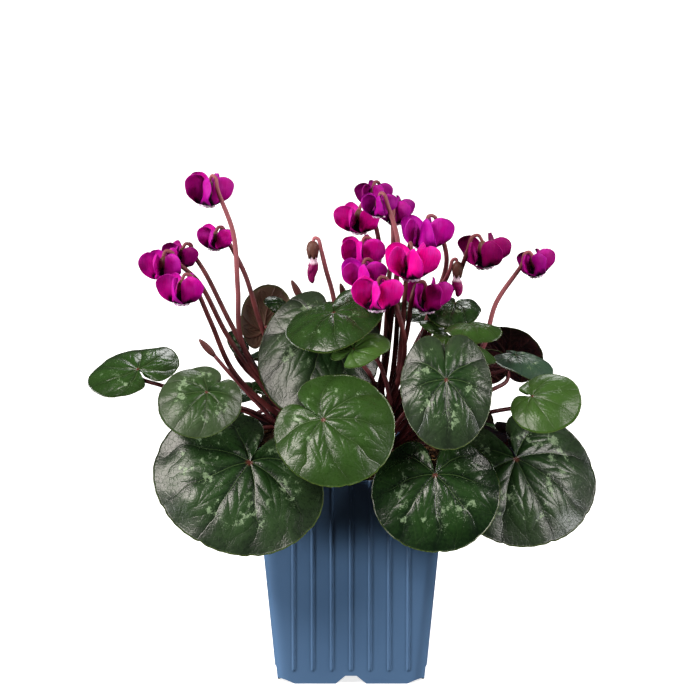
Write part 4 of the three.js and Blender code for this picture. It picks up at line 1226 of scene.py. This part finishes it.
# %% The corm
# Radius and height over the pot's rim
CORM_PROFILE = ((0.5, -12), (11, -12), (17, -9.6), (20, -7), (19, -4.6), (16.4, -2.6), (12, -0.4),
                (8, 0.7), (4, 1), (0.5, 1))
CORM_STEPS = 48
CORM_KNOBS = 0.6
DARK_CORK, PALE_CORK = (0.035, 0.018, 0.012), (0.11, 0.05, 0.03)


def corm_finish():
    """Corky brown skin."""
    material, tree, shader = finish("corm_cork", Roughness=0.9, Specular_IOR_Level=0.2)
    cork = grain(tree, solid_place(tree), 0.003, 4)
    lead(shader, Base_Color=blend_colour(tree, cork, DARK_CORK, PALE_CORK),
         Normal=relief(tree, cork, 0.6))
    return told(material)


def make_corm():
    """A flat round tuber with a knobbly crown."""
    angle = angles_round(CORM_STEPS)
    rows = []
    for radius, high in CORM_PROFILE:
        x, y = radius * np.cos(angle), radius * np.sin(angle)
        knob = CORM_KNOBS * ripple(x, y, 3, 9) * smooth((high + 6) / 4)
        rows.append(np.column_stack([x, y, POT_HEIGHT + high + knob]) + (*CORM_CENTRE, 0))
    bundle = Bundle()
    bundle.add(np.concatenate(rows), closed_rings(len(rows), CORM_STEPS))
    return bundle.make("corm", [corm_finish()], ["stalks"])


corm = make_corm()
print("corm faces:", len(corm.data.polygons))

# %% [markdown]
# ## The leaf blades
# A cyclamen leaf is a nearly round, waxy blade. Its main veins spread from the joint like fingers
# and fork into arches towards the margin, and the skin between them stands up like a quilt. That
# quilt catches the light, so it is real relief: each blade is a polar grid round its joint, and
# one formula of the angle and the radius gives the veins to the mesh and to the finish alike. A
# painted vein texture would need the blade unrolled and would never meet the relief so exactly.

# %% Blade outline and bends
LOBE_START = 0.12
LAPPED_SHUT = 7
MARGIN_POWER = 16


def slot_limit(leaf):
    """The angle from the midrib where the slot between the base lobes begins."""
    closed = leaf.get("shut", LAPPED_SHUT if leaf["lap"] else 0)
    return math.pi - math.radians(leaf["sinus"] - closed)


def margin_radius(leaf, angle):
    """Distance from the joint to the margin at an angle from the midrib."""
    back = leaf["back"]
    k = np.sin(angle) / leaf["wide"]
    c = np.cos(angle)
    q = c * c + k * k
    root = np.sqrt(back * back * c * c - q * (back * back - 1))
    ellipse = leaf["size"] * (back * c + root) / q
    rounding = np.sqrt(np.maximum(0, 1 - (abs(angle) / slot_limit(leaf)) ** MARGIN_POWER))
    return ellipse * (LOBE_START + (1 - LOBE_START) * rounding)


def blade_rise(leaf, a, b):
    """Height of the blade over its own flat plane: its arch, roll and fold."""
    slope = 4 * leaf["arch"] * a / leaf["length"]
    arch = np.where(a < 0, slope, slope * (1 - a / leaf["length"]))
    side = b / (leaf["size"] * leaf["wide"])
    crease = leaf["fold"] * (np.sqrt(side * side + 0.02) - math.sqrt(0.02))
    return arch - leaf["roll"] * side * side + crease


print("slot half angles:", sorted({leaf["sinus"] for leaf in LEAVES}), "degrees")

# %% Veins
VEIN_STEP = math.radians(47)
VEIN_SWEEP = 0.5
LAST_VEIN = 3
ARCH_STARTS = (0.2, 0.42, 0.64)
ARCH_REACH = 0.3
ARCH_BEND = 0.75
ARCH_LEAN = 0.8
FAR = 99.0


def vein_angle(theta, rho, a, b, seed):
    """The angle that is constant along a main vein: veins sweep towards the tip."""
    warp = 0.10 * ripple(a, b, 9, seed) + 0.05 * ripple(a, b, 4, seed + 1)
    return theta + VEIN_SWEEP * np.sin(theta) * rho + warp * rho


def arch_share(rho, start):
    """How far a side vein has left its main vein, from 0 to half a step."""
    return 0.5 * np.clip((rho - start) / ARCH_REACH, 0, 1) ** ARCH_BEND


def vein_gap(phi, rho, r):
    """Share of the way to the middle between two main veins, and both vein distances in mm."""
    steps = phi / VEIN_STEP
    off = abs(steps - np.clip(np.round(steps), -LAST_VEIN, LAST_VEIN))
    main = off * VEIN_STEP * r
    side = np.full(np.shape(main), FAR)
    for start in ARCH_STARTS:
        gap = abs(off - arch_share(rho, start)) * VEIN_STEP * r
        side = np.where(rho < start, side, np.minimum(side, gap * ARCH_LEAN))
    return np.minimum(2 * off, 1), main, side


def quilt(phi, rho, r, size):
    """Swelling of the skin between the veins, from 0 to 1."""
    middle, main, side = vein_gap(phi, rho, r)
    reach = 0.05 * size + 0.4
    swell = 0.3 * (1 - np.exp(-(main / reach) ** 1.4)) + 0.7 * middle * (2 - middle)
    swell *= 0.58 + 0.42 * (1 - np.exp(-(side / reach) ** 1.4))
    return swell * smooth(rho / 0.25) * (1 - 0.7 * smooth((rho - 0.6) / 0.4))


print("main veins:", 2 * LAST_VEIN + 1, "and", len(ARCH_STARTS), "pairs of arches on each")

# %% Blade grid and relief
SECTORS_PER_MM, FEWEST_SECTORS, MOST_SECTORS = 0.96, 84, 190
RINGS_PER_MM, FEWEST_RINGS, MOST_RINGS = 0.95, 14, 34
BLADE_THICKNESS = 0.6
# Heights as shares of the blade's size
QUILT_HEIGHT, WAVE_HEIGHT, DIMPLE_HEIGHT, CUP_DEPTH = 0.02, 0.021, 0.04, 0.045
WAVES = 5
TEETH, TOOTH_HEIGHT = 46, 0.0025
DENT_DEPTH, DENT_WIDTH = 0.012, 0.14
LOWEST_QUILT = 0.4
UPPER, UNDER = 0, 1


def blade_grid(leaf):
    """Angle and share of the radius at each point, and the radius itself in mm."""
    size = leaf["size"]
    sectors = int(np.clip(2 * math.pi * size * SECTORS_PER_MM, FEWEST_SECTORS, MOST_SECTORS))
    rings = int(np.clip(size * RINGS_PER_MM, FEWEST_RINGS, MOST_RINGS))
    u = np.linspace(-1, 1, sectors + 1)
    theta = slot_limit(leaf) * np.sign(u) * (1 - (1 - abs(u)) ** 1.3) * 0.998
    margin = margin_radius(leaf, theta)
    dent, _, _ = vein_gap(theta + VEIN_SWEEP * np.sin(theta), 0.5, margin)
    margin = margin * (1 - DENT_DEPTH * np.exp(-(dent / DENT_WIDTH) ** 2))
    margin = margin * (1 + TOOTH_HEIGHT * np.cos(theta * TEETH + leaf["number"]))
    rho = np.concatenate([[0.0001], (np.arange(1, rings + 1) / rings) ** 0.8])[:, None]
    r = rho * margin[None]
    return np.broadcast_to(theta, r.shape), np.broadcast_to(rho, r.shape), r


def blade_height(leaf, theta, rho, a, b, swell):
    """Height of the blade's middle over its flat plane, with bends, quilting and waves."""
    number, size = leaf["number"], leaf["size"]
    wave = WAVE_HEIGHT * size * rho ** 3 * np.sin(WAVES * theta + number)
    lap = leaf["lap"] * np.sign(theta) * smooth((abs(theta) - 2.2) / 0.8) * smooth(rho / 0.4)
    dimple = DIMPLE_HEIGHT * size * ripple(a, b, 0.42 * size, 70 + number)
    raised = (QUILT_HEIGHT * size + LOWEST_QUILT) * swell
    cup = CUP_DEPTH * size * smooth((rho - 0.55) / 0.45)
    return blade_rise(leaf, a, b) + raised + wave + lap + dimple * rho - cup


def blade_faces(rows, columns):
    """Faces of the upper and lower side and of the rim, and which side's skin each has."""
    quads = grid_faces(rows, columns)
    shift = rows * columns
    rim = [*[(k, k + 1) for k in range((rows - 1) * columns, rows * columns - 1)],
           *[(k * columns, (k + 1) * columns) for k in range(rows - 1)],
           *[((k + 2) * columns - 1, (k + 1) * columns - 1) for k in range(rows - 1)]]
    faces = [*quads[:, ::-1].tolist(), *(quads + shift).tolist(),
             *[[x, y, y + shift, x + shift] for x, y in rim]]
    return faces, [UPPER] * len(quads) + [UNDER] * len(quads) + [UPPER] * len(rim)


print("a blade of 4 by 5 points has", len(blade_faces(4, 5)[0]), "faces")

# %% Blade mesh
SEED_STRIDE = 31.7


def blade_piece(leaf, materials):
    """One blade: two sides and a thin rim, with all that the finish needs on its points."""
    number = leaf["number"]
    joint, along, across, out = leaf_axes(leaf)
    theta, rho, r = blade_grid(leaf)
    a, b = r * np.cos(theta), r * np.sin(theta)
    phi = vein_angle(theta, rho, a, b, 40 + 3 * number)
    swell = quilt(phi, rho, r, leaf["size"])
    height = blade_height(leaf, theta, rho, a, b, swell)
    half = BLADE_THICKNESS / 2 * (1 - 0.6 * smooth((rho - 0.93) / 0.07))
    centre = joint + a[..., None] * along + b[..., None] * across
    sides = np.stack([centre + (height + half)[..., None] * out,
                      centre + (height - half)[..., None] * out])
    maps = dict(phi=phi, rho=rho, radius=r, swell=swell)
    values = {name: np.tile(grid.reshape(-1), 2) for name, grid in maps.items()}
    values.update({name: leaf[name] for name in LEAF_TINTS})
    bundle = Bundle(*values)
    faces, kinds = blade_faces(*r.shape)
    bundle.add(sides, faces, kinds, **values)
    sheet = np.stack([a, b, np.full(a.shape, number * SEED_STRIDE)], axis=-1)
    name = f"leaf_{number:02d}"
    return bundle.make(f"blade_{number:02d}", materials, [name], np.stack([sheet, sheet]))


print("the first blade's grid:", blade_grid(LEAVES[0])[2].shape)

# %% [markdown]
# ## The leaves' finish
# The upper side is deep green under a waxy skin. Ragged silver-green marks lie between the veins in
# a ring half way out, a thin yellow-green line runs along the margin, and the joint is reddish. The
# underside is maroon. Each of these is a mask from the same angle and radius that shaped the mesh,
# painted over the last colour. The vein grooves get a deeper green as painted shade, and a grey
# bloom over the swells is partly painted sheen. Young, bluish and bloomed leaves are duller, as
# their wax is thicker.

# %% Veins in the shader
HIDING = 50


def shader_veins(tree):
    """The vein gaps again, as wires: main and side distances in millimetres."""
    rho = value_of(tree, "rho")
    r = value_of(tree, "radius")
    steps = value_of(tree, "phi") / VEIN_STEP
    nearest = steps.rounded().least(LAST_VEIN).most(-LAST_VEIN)
    off = abs(steps - nearest)
    main = off * VEIN_STEP * r
    side = main * 0 + FAR
    for start in ARCH_STARTS:
        share = ((rho - start) / ARCH_REACH).most(0).least(1) ** ARCH_BEND * 0.5
        hidden = (start - rho).ramp(-0.02, 0.0) * HIDING
        side = side.least(abs(off - share) * r * (VEIN_STEP * ARCH_LEAN) + hidden)
    return rho, main, side


print("the shader follows the same", len(ARCH_STARTS), "arches")

# %% Upper leaf finish
DEEP_GREEN, PLAIN_GREEN = (0.003, 0.010, 0.0035), (0.016, 0.048, 0.010)
YOUNG_GREEN, BLUISH_GREEN = (0.060, 0.140, 0.018), (0.030, 0.078, 0.050)
GREY_BLOOM_AND_SHEEN, SILVER_GREEN = (0.160, 0.190, 0.130), (0.205, 0.300, 0.165)
PALE_SPECK, VEIN_GREEN = (0.20, 0.30, 0.13), (0.055, 0.105, 0.030)
MARGIN_GREEN, JOINT_RED = (0.130, 0.180, 0.040), (0.100, 0.024, 0.016)
NET_SIZE = 2.3


def silver_marks(tree, rho, flat, mottle, fleck):
    """Ragged patches in a ring half way out, freckled at their edges."""
    band = rho.ramp(0.25, 0.45) * (1 - rho.ramp(0.66, 0.86))
    cloud = grain(tree, flat, 6.5, 6, 0.72)
    ragged = cloud + band * 0.11 + value_of(tree, "silver") * 0.06 + (fleck - 0.5) * 0.05
    freckles = fleck.ramp(0.58, 0.66) * ragged.ramp(0.65, 0.73) * 0.8
    return ragged.ramp(0.73, 0.76).most(freckles) * (0.35 + 0.75 * mottle.ramp(0.35, 0.62))


def skin_net(tree, flat):
    """The finest veins: 0 on the lines of a net, 1 in its meshes."""
    sockets = {"Vector": flat, "Scale": 1 / NET_SIZE}
    net = node(tree, "ShaderNodeTexVoronoi", {"feature": "DISTANCE_TO_EDGE"}, sockets, "Distance")
    return net.ramp(0.0, 0.16)


def leaf_upper_finish():
    """Waxy deep green with silver marks, painted shade in the vein grooves and painted sheen."""
    material, tree, shader = finish("leaf_upper_skin", IOR=1.45)
    flat = flat_place(tree)
    rho, main, side = shader_veins(tree)
    swell, young, blue, bloom_and_sheen = (value_of(tree, n) for n in ("swell", "bright", "blue", "bloom_and_sheen"))
    cloud = grain(tree, flat, 7, 2)
    mottle = grain(tree, flat, 1.6, 4, 0.65)
    fleck = grain(tree, flat, 0.55, 2)
    marks = silver_marks(tree, rho, flat, mottle, fleck)
    main_line = (1 - main.ramp(0.08, 0.3)) * (1 - rho.ramp(0.4, 0.95)) * 0.8
    side_line = (1 - side.ramp(0.04, 0.16)) * 0.25
    edge = rho.ramp(0.982, 0.998) * (0.2 + 0.8 * fleck.ramp(0.4, 0.6))
    colour = painted(
        tree, DEEP_GREEN,
        # Painted shade: deep green where the quilt sinks into the vein grooves, plain green on its
        # swells; mottle and cloud are the leaf's own uneven tone
        ((swell * 0.7 + mottle * 0.6 + cloud * 0.3).ramp(0.35, 1.1), PLAIN_GREEN),
        (young * (0.5 + 0.4 * cloud), YOUNG_GREEN),
        (blue * 0.7, BLUISH_GREEN),
        # Partly a grey bloom, partly painted sheen: greyer over the quilt's swells and towards the
        # margin
        (bloom_and_sheen * rho.ramp(0.3, 0.9) * (swell * 0.7 + mottle * 0.6) * 0.5, GREY_BLOOM_AND_SHEEN),
        (marks, SILVER_GREEN),
        (fleck.ramp(0.72, 0.78) * (1 - rho.ramp(0.85, 1.0)) * 0.3, PALE_SPECK),
        (main_line.most(side_line), VEIN_GREEN),
        (edge * 0.6, MARGIN_GREEN),
        (1 - rho.ramp(0.015, 0.06), JOINT_RED))
    groove = (main.ramp(0.0, 0.7) + side.ramp(0.0, 0.9) * 0.55) * (1 - rho.ramp(0.5, 1.0) * 0.6)
    skin = groove * 0.45 + skin_net(tree, flat) * 0.11 + mottle * 0.10 + fleck * 0.03
    dull = young * young * 0.2 + blue * 0.12 + bloom_and_sheen * 0.16
    lead(shader, Base_Color=colour, Roughness=0.19 + mottle * 0.12 + marks * 0.08 + dull,
         Normal=relief(tree, skin, 0.26))
    return told(material)


upper_skin = leaf_upper_finish()

# %% Lower leaf finish and the blades
MAROON, PALE_MAROON, OLD_BROWN = (0.040, 0.008, 0.011), (0.095, 0.020, 0.022), (0.150, 0.095, 0.060)
UNDER_VEIN, UNDER_RIM = (0.180, 0.070, 0.055), (0.090, 0.120, 0.035)


def leaf_under_finish():
    """Maroon underside with paler veins; old leaves are browner with a green rim."""
    material, tree, shader = finish("leaf_under_skin", IOR=1.42)
    rho, main, side = shader_veins(tree)
    mottle = grain(tree, flat_place(tree), 2.2, 4)
    vein = (1 - main.ramp(0.2, 0.7)).most((1 - side.ramp(0.1, 0.4)) * 0.6)
    colour = painted(tree, MAROON,
                     (mottle.ramp(0.3, 0.7), PALE_MAROON),
                     (value_of(tree, "brown"), OLD_BROWN),
                     (vein * 0.5, UNDER_VEIN),
                     (rho.ramp(0.90, 1.0) * 0.6, UNDER_RIM))
    lead(shader, Base_Color=colour, Roughness=0.45 + mottle * 0.15,
         Normal=relief(tree, vein * 0.8 + mottle * 0.3, 0.35))
    return told(material)


leaf_skins = [upper_skin, leaf_under_finish()]
blades = [blade_piece(leaf, leaf_skins) for leaf in LEAVES]
print(len(blades), "blades, faces:", sum(len(b.data.polygons) for b in blades))

# %% [markdown]
# ## The flowers
# A cyclamen hangs its flower and bends the five petals straight back, so the mouth looks down and
# the petals stand up round it, each turned like a propeller blade. One petal is a sheet swept
# through a few stations from the mouth's rim, out, up and round to the blunt tip. Seventeen
# copies of one flower would look like wallpaper, so each petal has its own twist and waves.

# %% Petal finish
VIOLET, HOT_PINK, DEEP_MAGENTA = (0.400, 0.001, 0.330), (0.860, 0.000, 0.300), (0.145, 0.000, 0.060)
PETAL_PAINTED_SHEEN, PETAL_RIM_SHEEN = (0.640, 0.040, 0.500), (0.700, 0.020, 0.560)
PETAL_STREAK, PETAL_FOOT = (0.190, 0.000, 0.130), (0.010, 0.001, 0.010)


def petal_finish():
    """Satin magenta: hot pink to violet, near black at the mouth, with fine veins and painted
    sheen.
    """
    material, tree, shader = finish("petal_satin", Roughness=0.5, Specular_IOR_Level=0.1,
                                    Subsurface_Weight=0.08,
                                    Subsurface_Radius=(0.002, 0.0003, 0.001))
    flat = flat_place(tree)
    along, pink, dark = (value_of(tree, name) for name in ("along", "pink", "dark"))
    across = abs(value_of(tree, "across"))
    streak = grain(tree, stretched(tree, flat, (1, 0.12, 1)), 0.45, 3)
    cloud = grain(tree, flat, 4.5, 2)
    # Painted sheen: a lighter lilac in random patches on the upper part of each petal
    painted_sheen = grain(tree, flat, 6, 2).ramp(0.42, 0.68) * along.ramp(0.4, 0.75) * (1 - dark)
    # Painted sheen: a paler rim along the petal's edges and at its tip
    rim = across.ramp(0.72, 1.0).most(along.ramp(0.86, 1.0)) * (1 - dark)
    foot = 1 - (along + across * 0.16 + (streak - 0.5) * 0.22).ramp(0.30, 0.43)
    colour = painted(
        tree, VIOLET,
        ((pink + (cloud - 0.5) * 0.5 - across * 0.12).most(0).least(1), HOT_PINK),
        (dark, DEEP_MAGENTA),
        (painted_sheen * 0.45, PETAL_PAINTED_SHEEN),
        (rim * 0.3, PETAL_RIM_SHEEN),
        (streak.ramp(0.45, 0.75) * 0.3, PETAL_STREAK),
        (foot, PETAL_FOOT))
    lead(shader, Base_Color=colour, Normal=relief(tree, streak + cloud, 0.22))
    return told(material)


PALE_PINK, DENT_PINK = (0.95, 0.80, 0.90), (0.58, 0.24, 0.50)


def mouth_finish():
    """Pale pink rim of the mouth, with darker dents."""
    material, tree, shader = finish("mouth_rim", Roughness=0.5)
    patch = grain(tree, solid_place(tree), 0.0014, 2).ramp(0.4, 0.62)
    lead(shader, Base_Color=blend_colour(tree, patch, PALE_PINK, DENT_PINK))
    return told(material)


petal_skins = [petal_finish(), mouth_finish()]

# %% Petal shape
# Stations along a petal: how far along, distance from the axis, height over the mouth, half width
PETAL_STATIONS = [
    (0.00, 2.3, 1.4, 1.3),
    (0.08, 3.1, 0.5, 1.7),
    (0.17, 4.2, 0.4, 2.5),
    (0.28, 5.2, 1.7, 3.6),
    (0.44, 6.2, 4.2, 4.8),
    (0.62, 6.8, 7.4, 5.5),
    (0.80, 7.1, 10.5, 5.7),
    (1.00, 7.3, 13.9, 5.2),
]
PETAL_ROWS = 30
PETAL_COLUMNS = 19
BLUNT_FROM = 0.66
CURVE_STEPS = 12


def petal_sizes(t, opening):
    """Distance from the axis, height over the mouth, and half width along a petal."""
    starts, *sizes = np.array(PETAL_STATIONS).T
    curve = smooth_curve(np.stack(sizes, axis=1), CURVE_STEPS)
    knots = np.interp(np.linspace(0, 1, len(curve)), np.linspace(0, 1, len(starts)), starts)
    r, h, half = (np.interp(t, knots, column) for column in curve.T)
    blunt = np.sqrt(np.maximum(0, 1 - np.clip((t - BLUNT_FROM) / (1 - BLUNT_FROM), 0, 1) ** 2.5))
    r = r * (1 + (opening - 1) * smooth(t / 0.4))
    return r, h * (1.6 - 0.6 * opening), half * np.maximum(blunt, 0.02)


def petal_lift(size, seed, t, u, half, across):
    """How far the sheet leaves its middle line: fold, keel, waves and dents."""
    fold = (1 - u ** 2) * 0.26 * half
    keel = -0.5 * np.exp(-(u / 0.16) ** 2) * (half / 6) * (1 - t)
    flow = 0.75 * size * u ** 2 * np.sin(t * 7 + u * 1.6 + seed) * smooth(t / 0.3)
    dent = 0.35 * ripple(across, t * 15, 4, seed) * smooth(t / 0.25)
    return fold + keel + flow + dent


def petal_faces(rows, columns):
    """Faces of the front, the back and the rim all round."""
    quads = grid_faces(rows, columns)
    shift = rows * columns
    rim = [*[(k, k + 1) for k in range(columns - 1)],
           *[((k + 1) * columns - 1, (k + 2) * columns - 1) for k in range(rows - 1)],
           *[(k + 1, k) for k in range((rows - 1) * columns, rows * columns - 1)],
           *[((k + 1) * columns, k * columns) for k in range(rows - 1)]]
    return [*quads.tolist(), *(quads[:, ::-1] + shift).tolist(),
            *[[y, x, x + shift, y + shift] for x, y in rim]]


print("petal sizes half way:", [round(float(v), 1) for v in petal_sizes(0.5, 1)], "mm")

# %% Petals
PETAL_ANGLES = (50, 115, 180, 246, 314)
PETAL_THICKNESS = 0.4
TWIST = 1.28
TWIST_SPREAD, LEAN_SPREAD, SIZE_SPREAD = 0.3, 0.1, 0.08
SMALLEST = 0.96
SWAY = 0.06
SHEET_LENGTH = 16
PINK_SPREAD, DARK_SPREAD = 0.16, 0.14
DRAW_FACTOR, DRAW_RANGE = 16807, 2147483647


def seeded_draws(seed):
    """Repeatable draws between 0 and 1, as in the solid model."""
    state = seed
    while True:
        state = state * DRAW_FACTOR % DRAW_RANGE
        yield state / DRAW_RANGE


def add_petal(bundle, flats, flower, degrees, draw):
    """One petal, swept from the mouth's rim and twisted on its way up."""
    up, side, cross = head_axes(flower)
    lean = (next(draw) - 0.5) * LEAN_SPREAD
    twist = TWIST + (next(draw) - 0.5) * TWIST_SPREAD
    size = flower["size"] * (SMALLEST + SIZE_SPREAD * next(draw))
    seed = 17 * flower["number"] + degrees
    angle = math.radians(degrees)
    out = side * math.cos(angle) + cross * math.sin(angle)
    tangent = np.cross(up, out)
    t = (1 - (1 - np.linspace(0, 1, PETAL_ROWS)) ** 1.6)[:, None]
    u = np.sin(np.linspace(-0.5, 0.5, PETAL_COLUMNS) * math.pi)[None]
    r, h, half = petal_sizes(t, flower["open"])
    centre = mouth_place(flower) + out * (r * size + h * lean) + up * (h * size)
    spin = twist * smooth(t * 2.2 - 0.15)
    wide = tangent * np.cos(spin) + out * np.sin(spin)
    deep = out * np.cos(spin) - tangent * np.sin(spin)
    across = (u + SWAY * np.sin(seed + 5 * t) * smooth(t * 3)) * (half * size)
    lift = petal_lift(size, seed, t, u, half, across)
    middle = centre[:, None] + across[..., None] * wide[:, None] + lift[..., None] * deep[:, None]
    thick = deep[:, None] * PETAL_THICKNESS / 2
    t, u = np.broadcast_to(t, across.shape), np.broadcast_to(u, across.shape)
    pink = flower["pink"] + PINK_SPREAD * math.sin(seed * 1.7)
    dark = flower["dark"] + DARK_SPREAD * math.sin(seed * 2.9)
    bundle.add(np.stack([middle + thick, middle - thick]), petal_faces(*across.shape),
               along=np.stack([t, t]), across=np.stack([u, u]), pink=pink,
               dark=min(1, max(0, dark)))
    sheet = np.stack([across, t * SHEET_LENGTH, np.full(across.shape, float(seed))], axis=-1)
    flats += [sheet.reshape(-1, 3)] * 2


print("five petals stand at", PETAL_ANGLES, "degrees")

# %% Mouth, tube and style
PETAL_SKIN, MOUTH_SKIN = 0, 1
MOUTH_STEPS = 60
# Rows of the mouth: radius, height over it, and how much the row follows the scallops
MOUTH_PROFILE = ((1.7, TUBE_TOP, 0), (2.35, 5.4, 0), (2.75, 3.2, 0), (3.0, 1.2, 0), (3.6, 0.0, 0.5),
                 (3.9, -0.6, 1), (3.5, -1.05, 1), (2.7, -0.9, 1), (2.1, 0.4, 0.4), (1.9, 3, 0),
                 (1.2, 6, 0))
PALE_BANDS = range(4, 8)
SCALLOP_OUT, SCALLOP_DOWN = 0.28, 0.35
STYLE_TOP, STYLE_END, STYLE_RADIUS = 5.5, -1.3, 0.32
STYLE_STEPS, STYLE_SIDES = 6, 8


def add_mouth(bundle, flats, flower):
    """A short hollow tube with a scalloped rim, and the thin style that hangs in it."""
    up, _, _ = head_axes(flower)
    foot, size = mouth_place(flower), flower["size"]
    ring = ring_round(flower, MOUTH_STEPS)
    scallop = abs(np.cos(5 * angles_round(MOUTH_STEPS)))[:, None] ** 0.7 - 0.5
    rows = [ring * (radius + SCALLOP_OUT * wave * scallop)
            + up * (high - SCALLOP_DOWN * wave * scallop) for radius, high, wave in MOUTH_PROFILE]
    points = foot + size * np.concatenate(rows)
    faces = closed_rings(len(rows), MOUTH_STEPS, flip=True)
    kinds = [MOUTH_SKIN if k // MOUTH_STEPS in PALE_BANDS else PETAL_SKIN
             for k in range(len(faces))]
    bundle.add(points, faces, kinds, along=0.3, pink=0.3, dark=0.5)
    path = foot + up * (size * np.linspace(STYLE_TOP, STYLE_END, STYLE_STEPS))[:, None]
    radii = np.full(STYLE_STEPS, STYLE_RADIUS * size)
    add_tube(bundle, path, radii, STYLE_SIDES, MOUTH_SKIN)
    flats += [points, np.repeat(path, STYLE_SIDES, axis=0)]


def bloom_piece(flower, materials):
    """One flower: five petals, the tube and the style."""
    number = flower["number"]
    draw = seeded_draws(11 + 7 * (number - 1))
    bundle = Bundle("along", "across", "pink", "dark")
    flats = []
    for degrees in PETAL_ANGLES:
        add_petal(bundle, flats, flower, degrees, draw)
    add_mouth(bundle, flats, flower)
    name = f"flower_{number:02d}"
    return bundle.make(f"bloom_{number:02d}", materials, [name], np.concatenate(flats))


blooms = [bloom_piece(flower, petal_skins) for flower in FLOWERS]
print(len(blooms), "blooms, faces:", sum(len(b.data.polygons) for b in blooms))

# %% [markdown]
# ## The buds
# A closed bud hangs from its calyx with the petals rolled round each other to a point. Five
# rolled sheets would be truer but hidden in each other, so a turned body with a slow spiral in
# its section shows the rolled edges. A pale band lies under the calyx.

# %% Buds
BUD_MAGENTA, BUD_DARK, BUD_PALE = (0.36, 0.004, 0.14), (0.16, 0.002, 0.07), (0.88, 0.66, 0.78)
# Shares of the bud's length, and the radius at each
BUD_PLACES = (0, 0.12, 0.28, 0.38, 0.55, 0.75, 0.92, 1)
BUD_RADII = (1.9, 1.8, 1.7, 2.3, 2.5, 1.9, 1.35, 0.5)
BUD_ROWS, BUD_AROUND = 34, 30
BUD_SPIRAL, ROLLED_EDGES, EDGE_HEIGHT = 3.2, 3, 0.24
BUD_BEND = 0.5


def bud_finish():
    """Magenta roll with a pale pink band at the calyx."""
    material, tree, shader = finish("bud_satin", Roughness=0.5, IOR=1.36)
    streak = grain(tree, flat_place(tree), 0.5, 3)
    band = (1 - value_of(tree, "along").ramp(0.30, 0.40)) * streak.ramp(0.1, 0.4)
    colour = painted(tree, BUD_MAGENTA, (streak.ramp(0.35, 0.7), BUD_DARK), (band, BUD_PALE))
    lead(shader, Base_Color=colour, Normal=relief(tree, streak, 0.2))
    return told(material)


def bud_piece(bud, material):
    """One bud: rings that shrink to a point, with a saw-tooth spiral in their section."""
    number = bud["number"]
    up, side, _ = head_axes(bud)
    t = np.linspace(0, 1, BUD_ROWS)[:, None]
    angle = angles_round(BUD_AROUND)[None]
    turns = (angle + t * BUD_SPIRAL) * ROLLED_EDGES / (2 * math.pi)
    spiral = 1 + EDGE_HEIGHT * (np.mod(turns, 1) - 0.5) * smooth((t - 0.25) / 0.15)
    r = np.interp(t, BUD_PLACES, BUD_RADII) * spiral
    bend = BUD_BEND * np.sin(t * 6) * smooth(t / 0.4)
    line = above_rim(bud["top"]) - t * bud["length"] * up + bend * side
    points = line[:, None] + r[..., None] * ring_round(bud, BUD_AROUND)
    bundle = Bundle("along")
    bundle.add(points, closed_rings(BUD_ROWS, BUD_AROUND, flip=True),
               along=np.repeat(t.reshape(-1), BUD_AROUND))
    flat = np.stack([np.broadcast_to(angle * 3, r.shape), np.broadcast_to(t * 3, r.shape),
                     np.full(r.shape, 5.0 * number)], axis=-1)
    return bundle.make(f"rolled_bud_{number:02d}", [material], [f"bud_{number:02d}"], flat)


bud_skin = bud_finish()
rolled_buds = [bud_piece(bud, bud_skin) for bud in BUDS]
print(len(rolled_buds), "buds")

# %% [markdown]
# ## The floor
# The floor isn't part of the plant. A wide flat sheet is better here than a curved backdrop,
# because it serves every other viewing angle too. It glows a little to stay white, and diffuse and
# glossy rays pass it by, so that it doesn't light the leaves from below.

# %% Floor
FLOOR_REACH = 7.0
PAPER, PAPER_TOOTH = (0.90, 0.90, 0.90), (0.93, 0.93, 0.93)


def make_floor():
    """A flat sheet of pale seamless paper."""
    material, tree, shader = finish("seamless_paper", Roughness=0.9, Specular_IOR_Level=0.1,
                                    Emission_Color=(1, 1, 1, 1), Emission_Strength=0.8)
    tooth = grain(tree, solid_place(tree), 0.01, 2)
    lead(shader, Base_Color=blend_colour(tree, tooth, PAPER, PAPER_TOOTH))
    mesh = bpy.data.meshes.new("paper_floor")
    reach = FLOOR_REACH
    corners = [(-reach, -reach, 0), (reach, -reach, 0), (reach, reach, 0), (-reach, reach, 0)]
    mesh.from_pydata(corners, [], [(0, 1, 2, 3)])
    mesh.materials.append(told(material))
    floor = put_in_scene("paper_floor", mesh)
    floor.visible_diffuse = False
    floor.visible_glossy = False
    return floor


floor = make_floor()
print("floor reaches", FLOOR_REACH, "m each way")
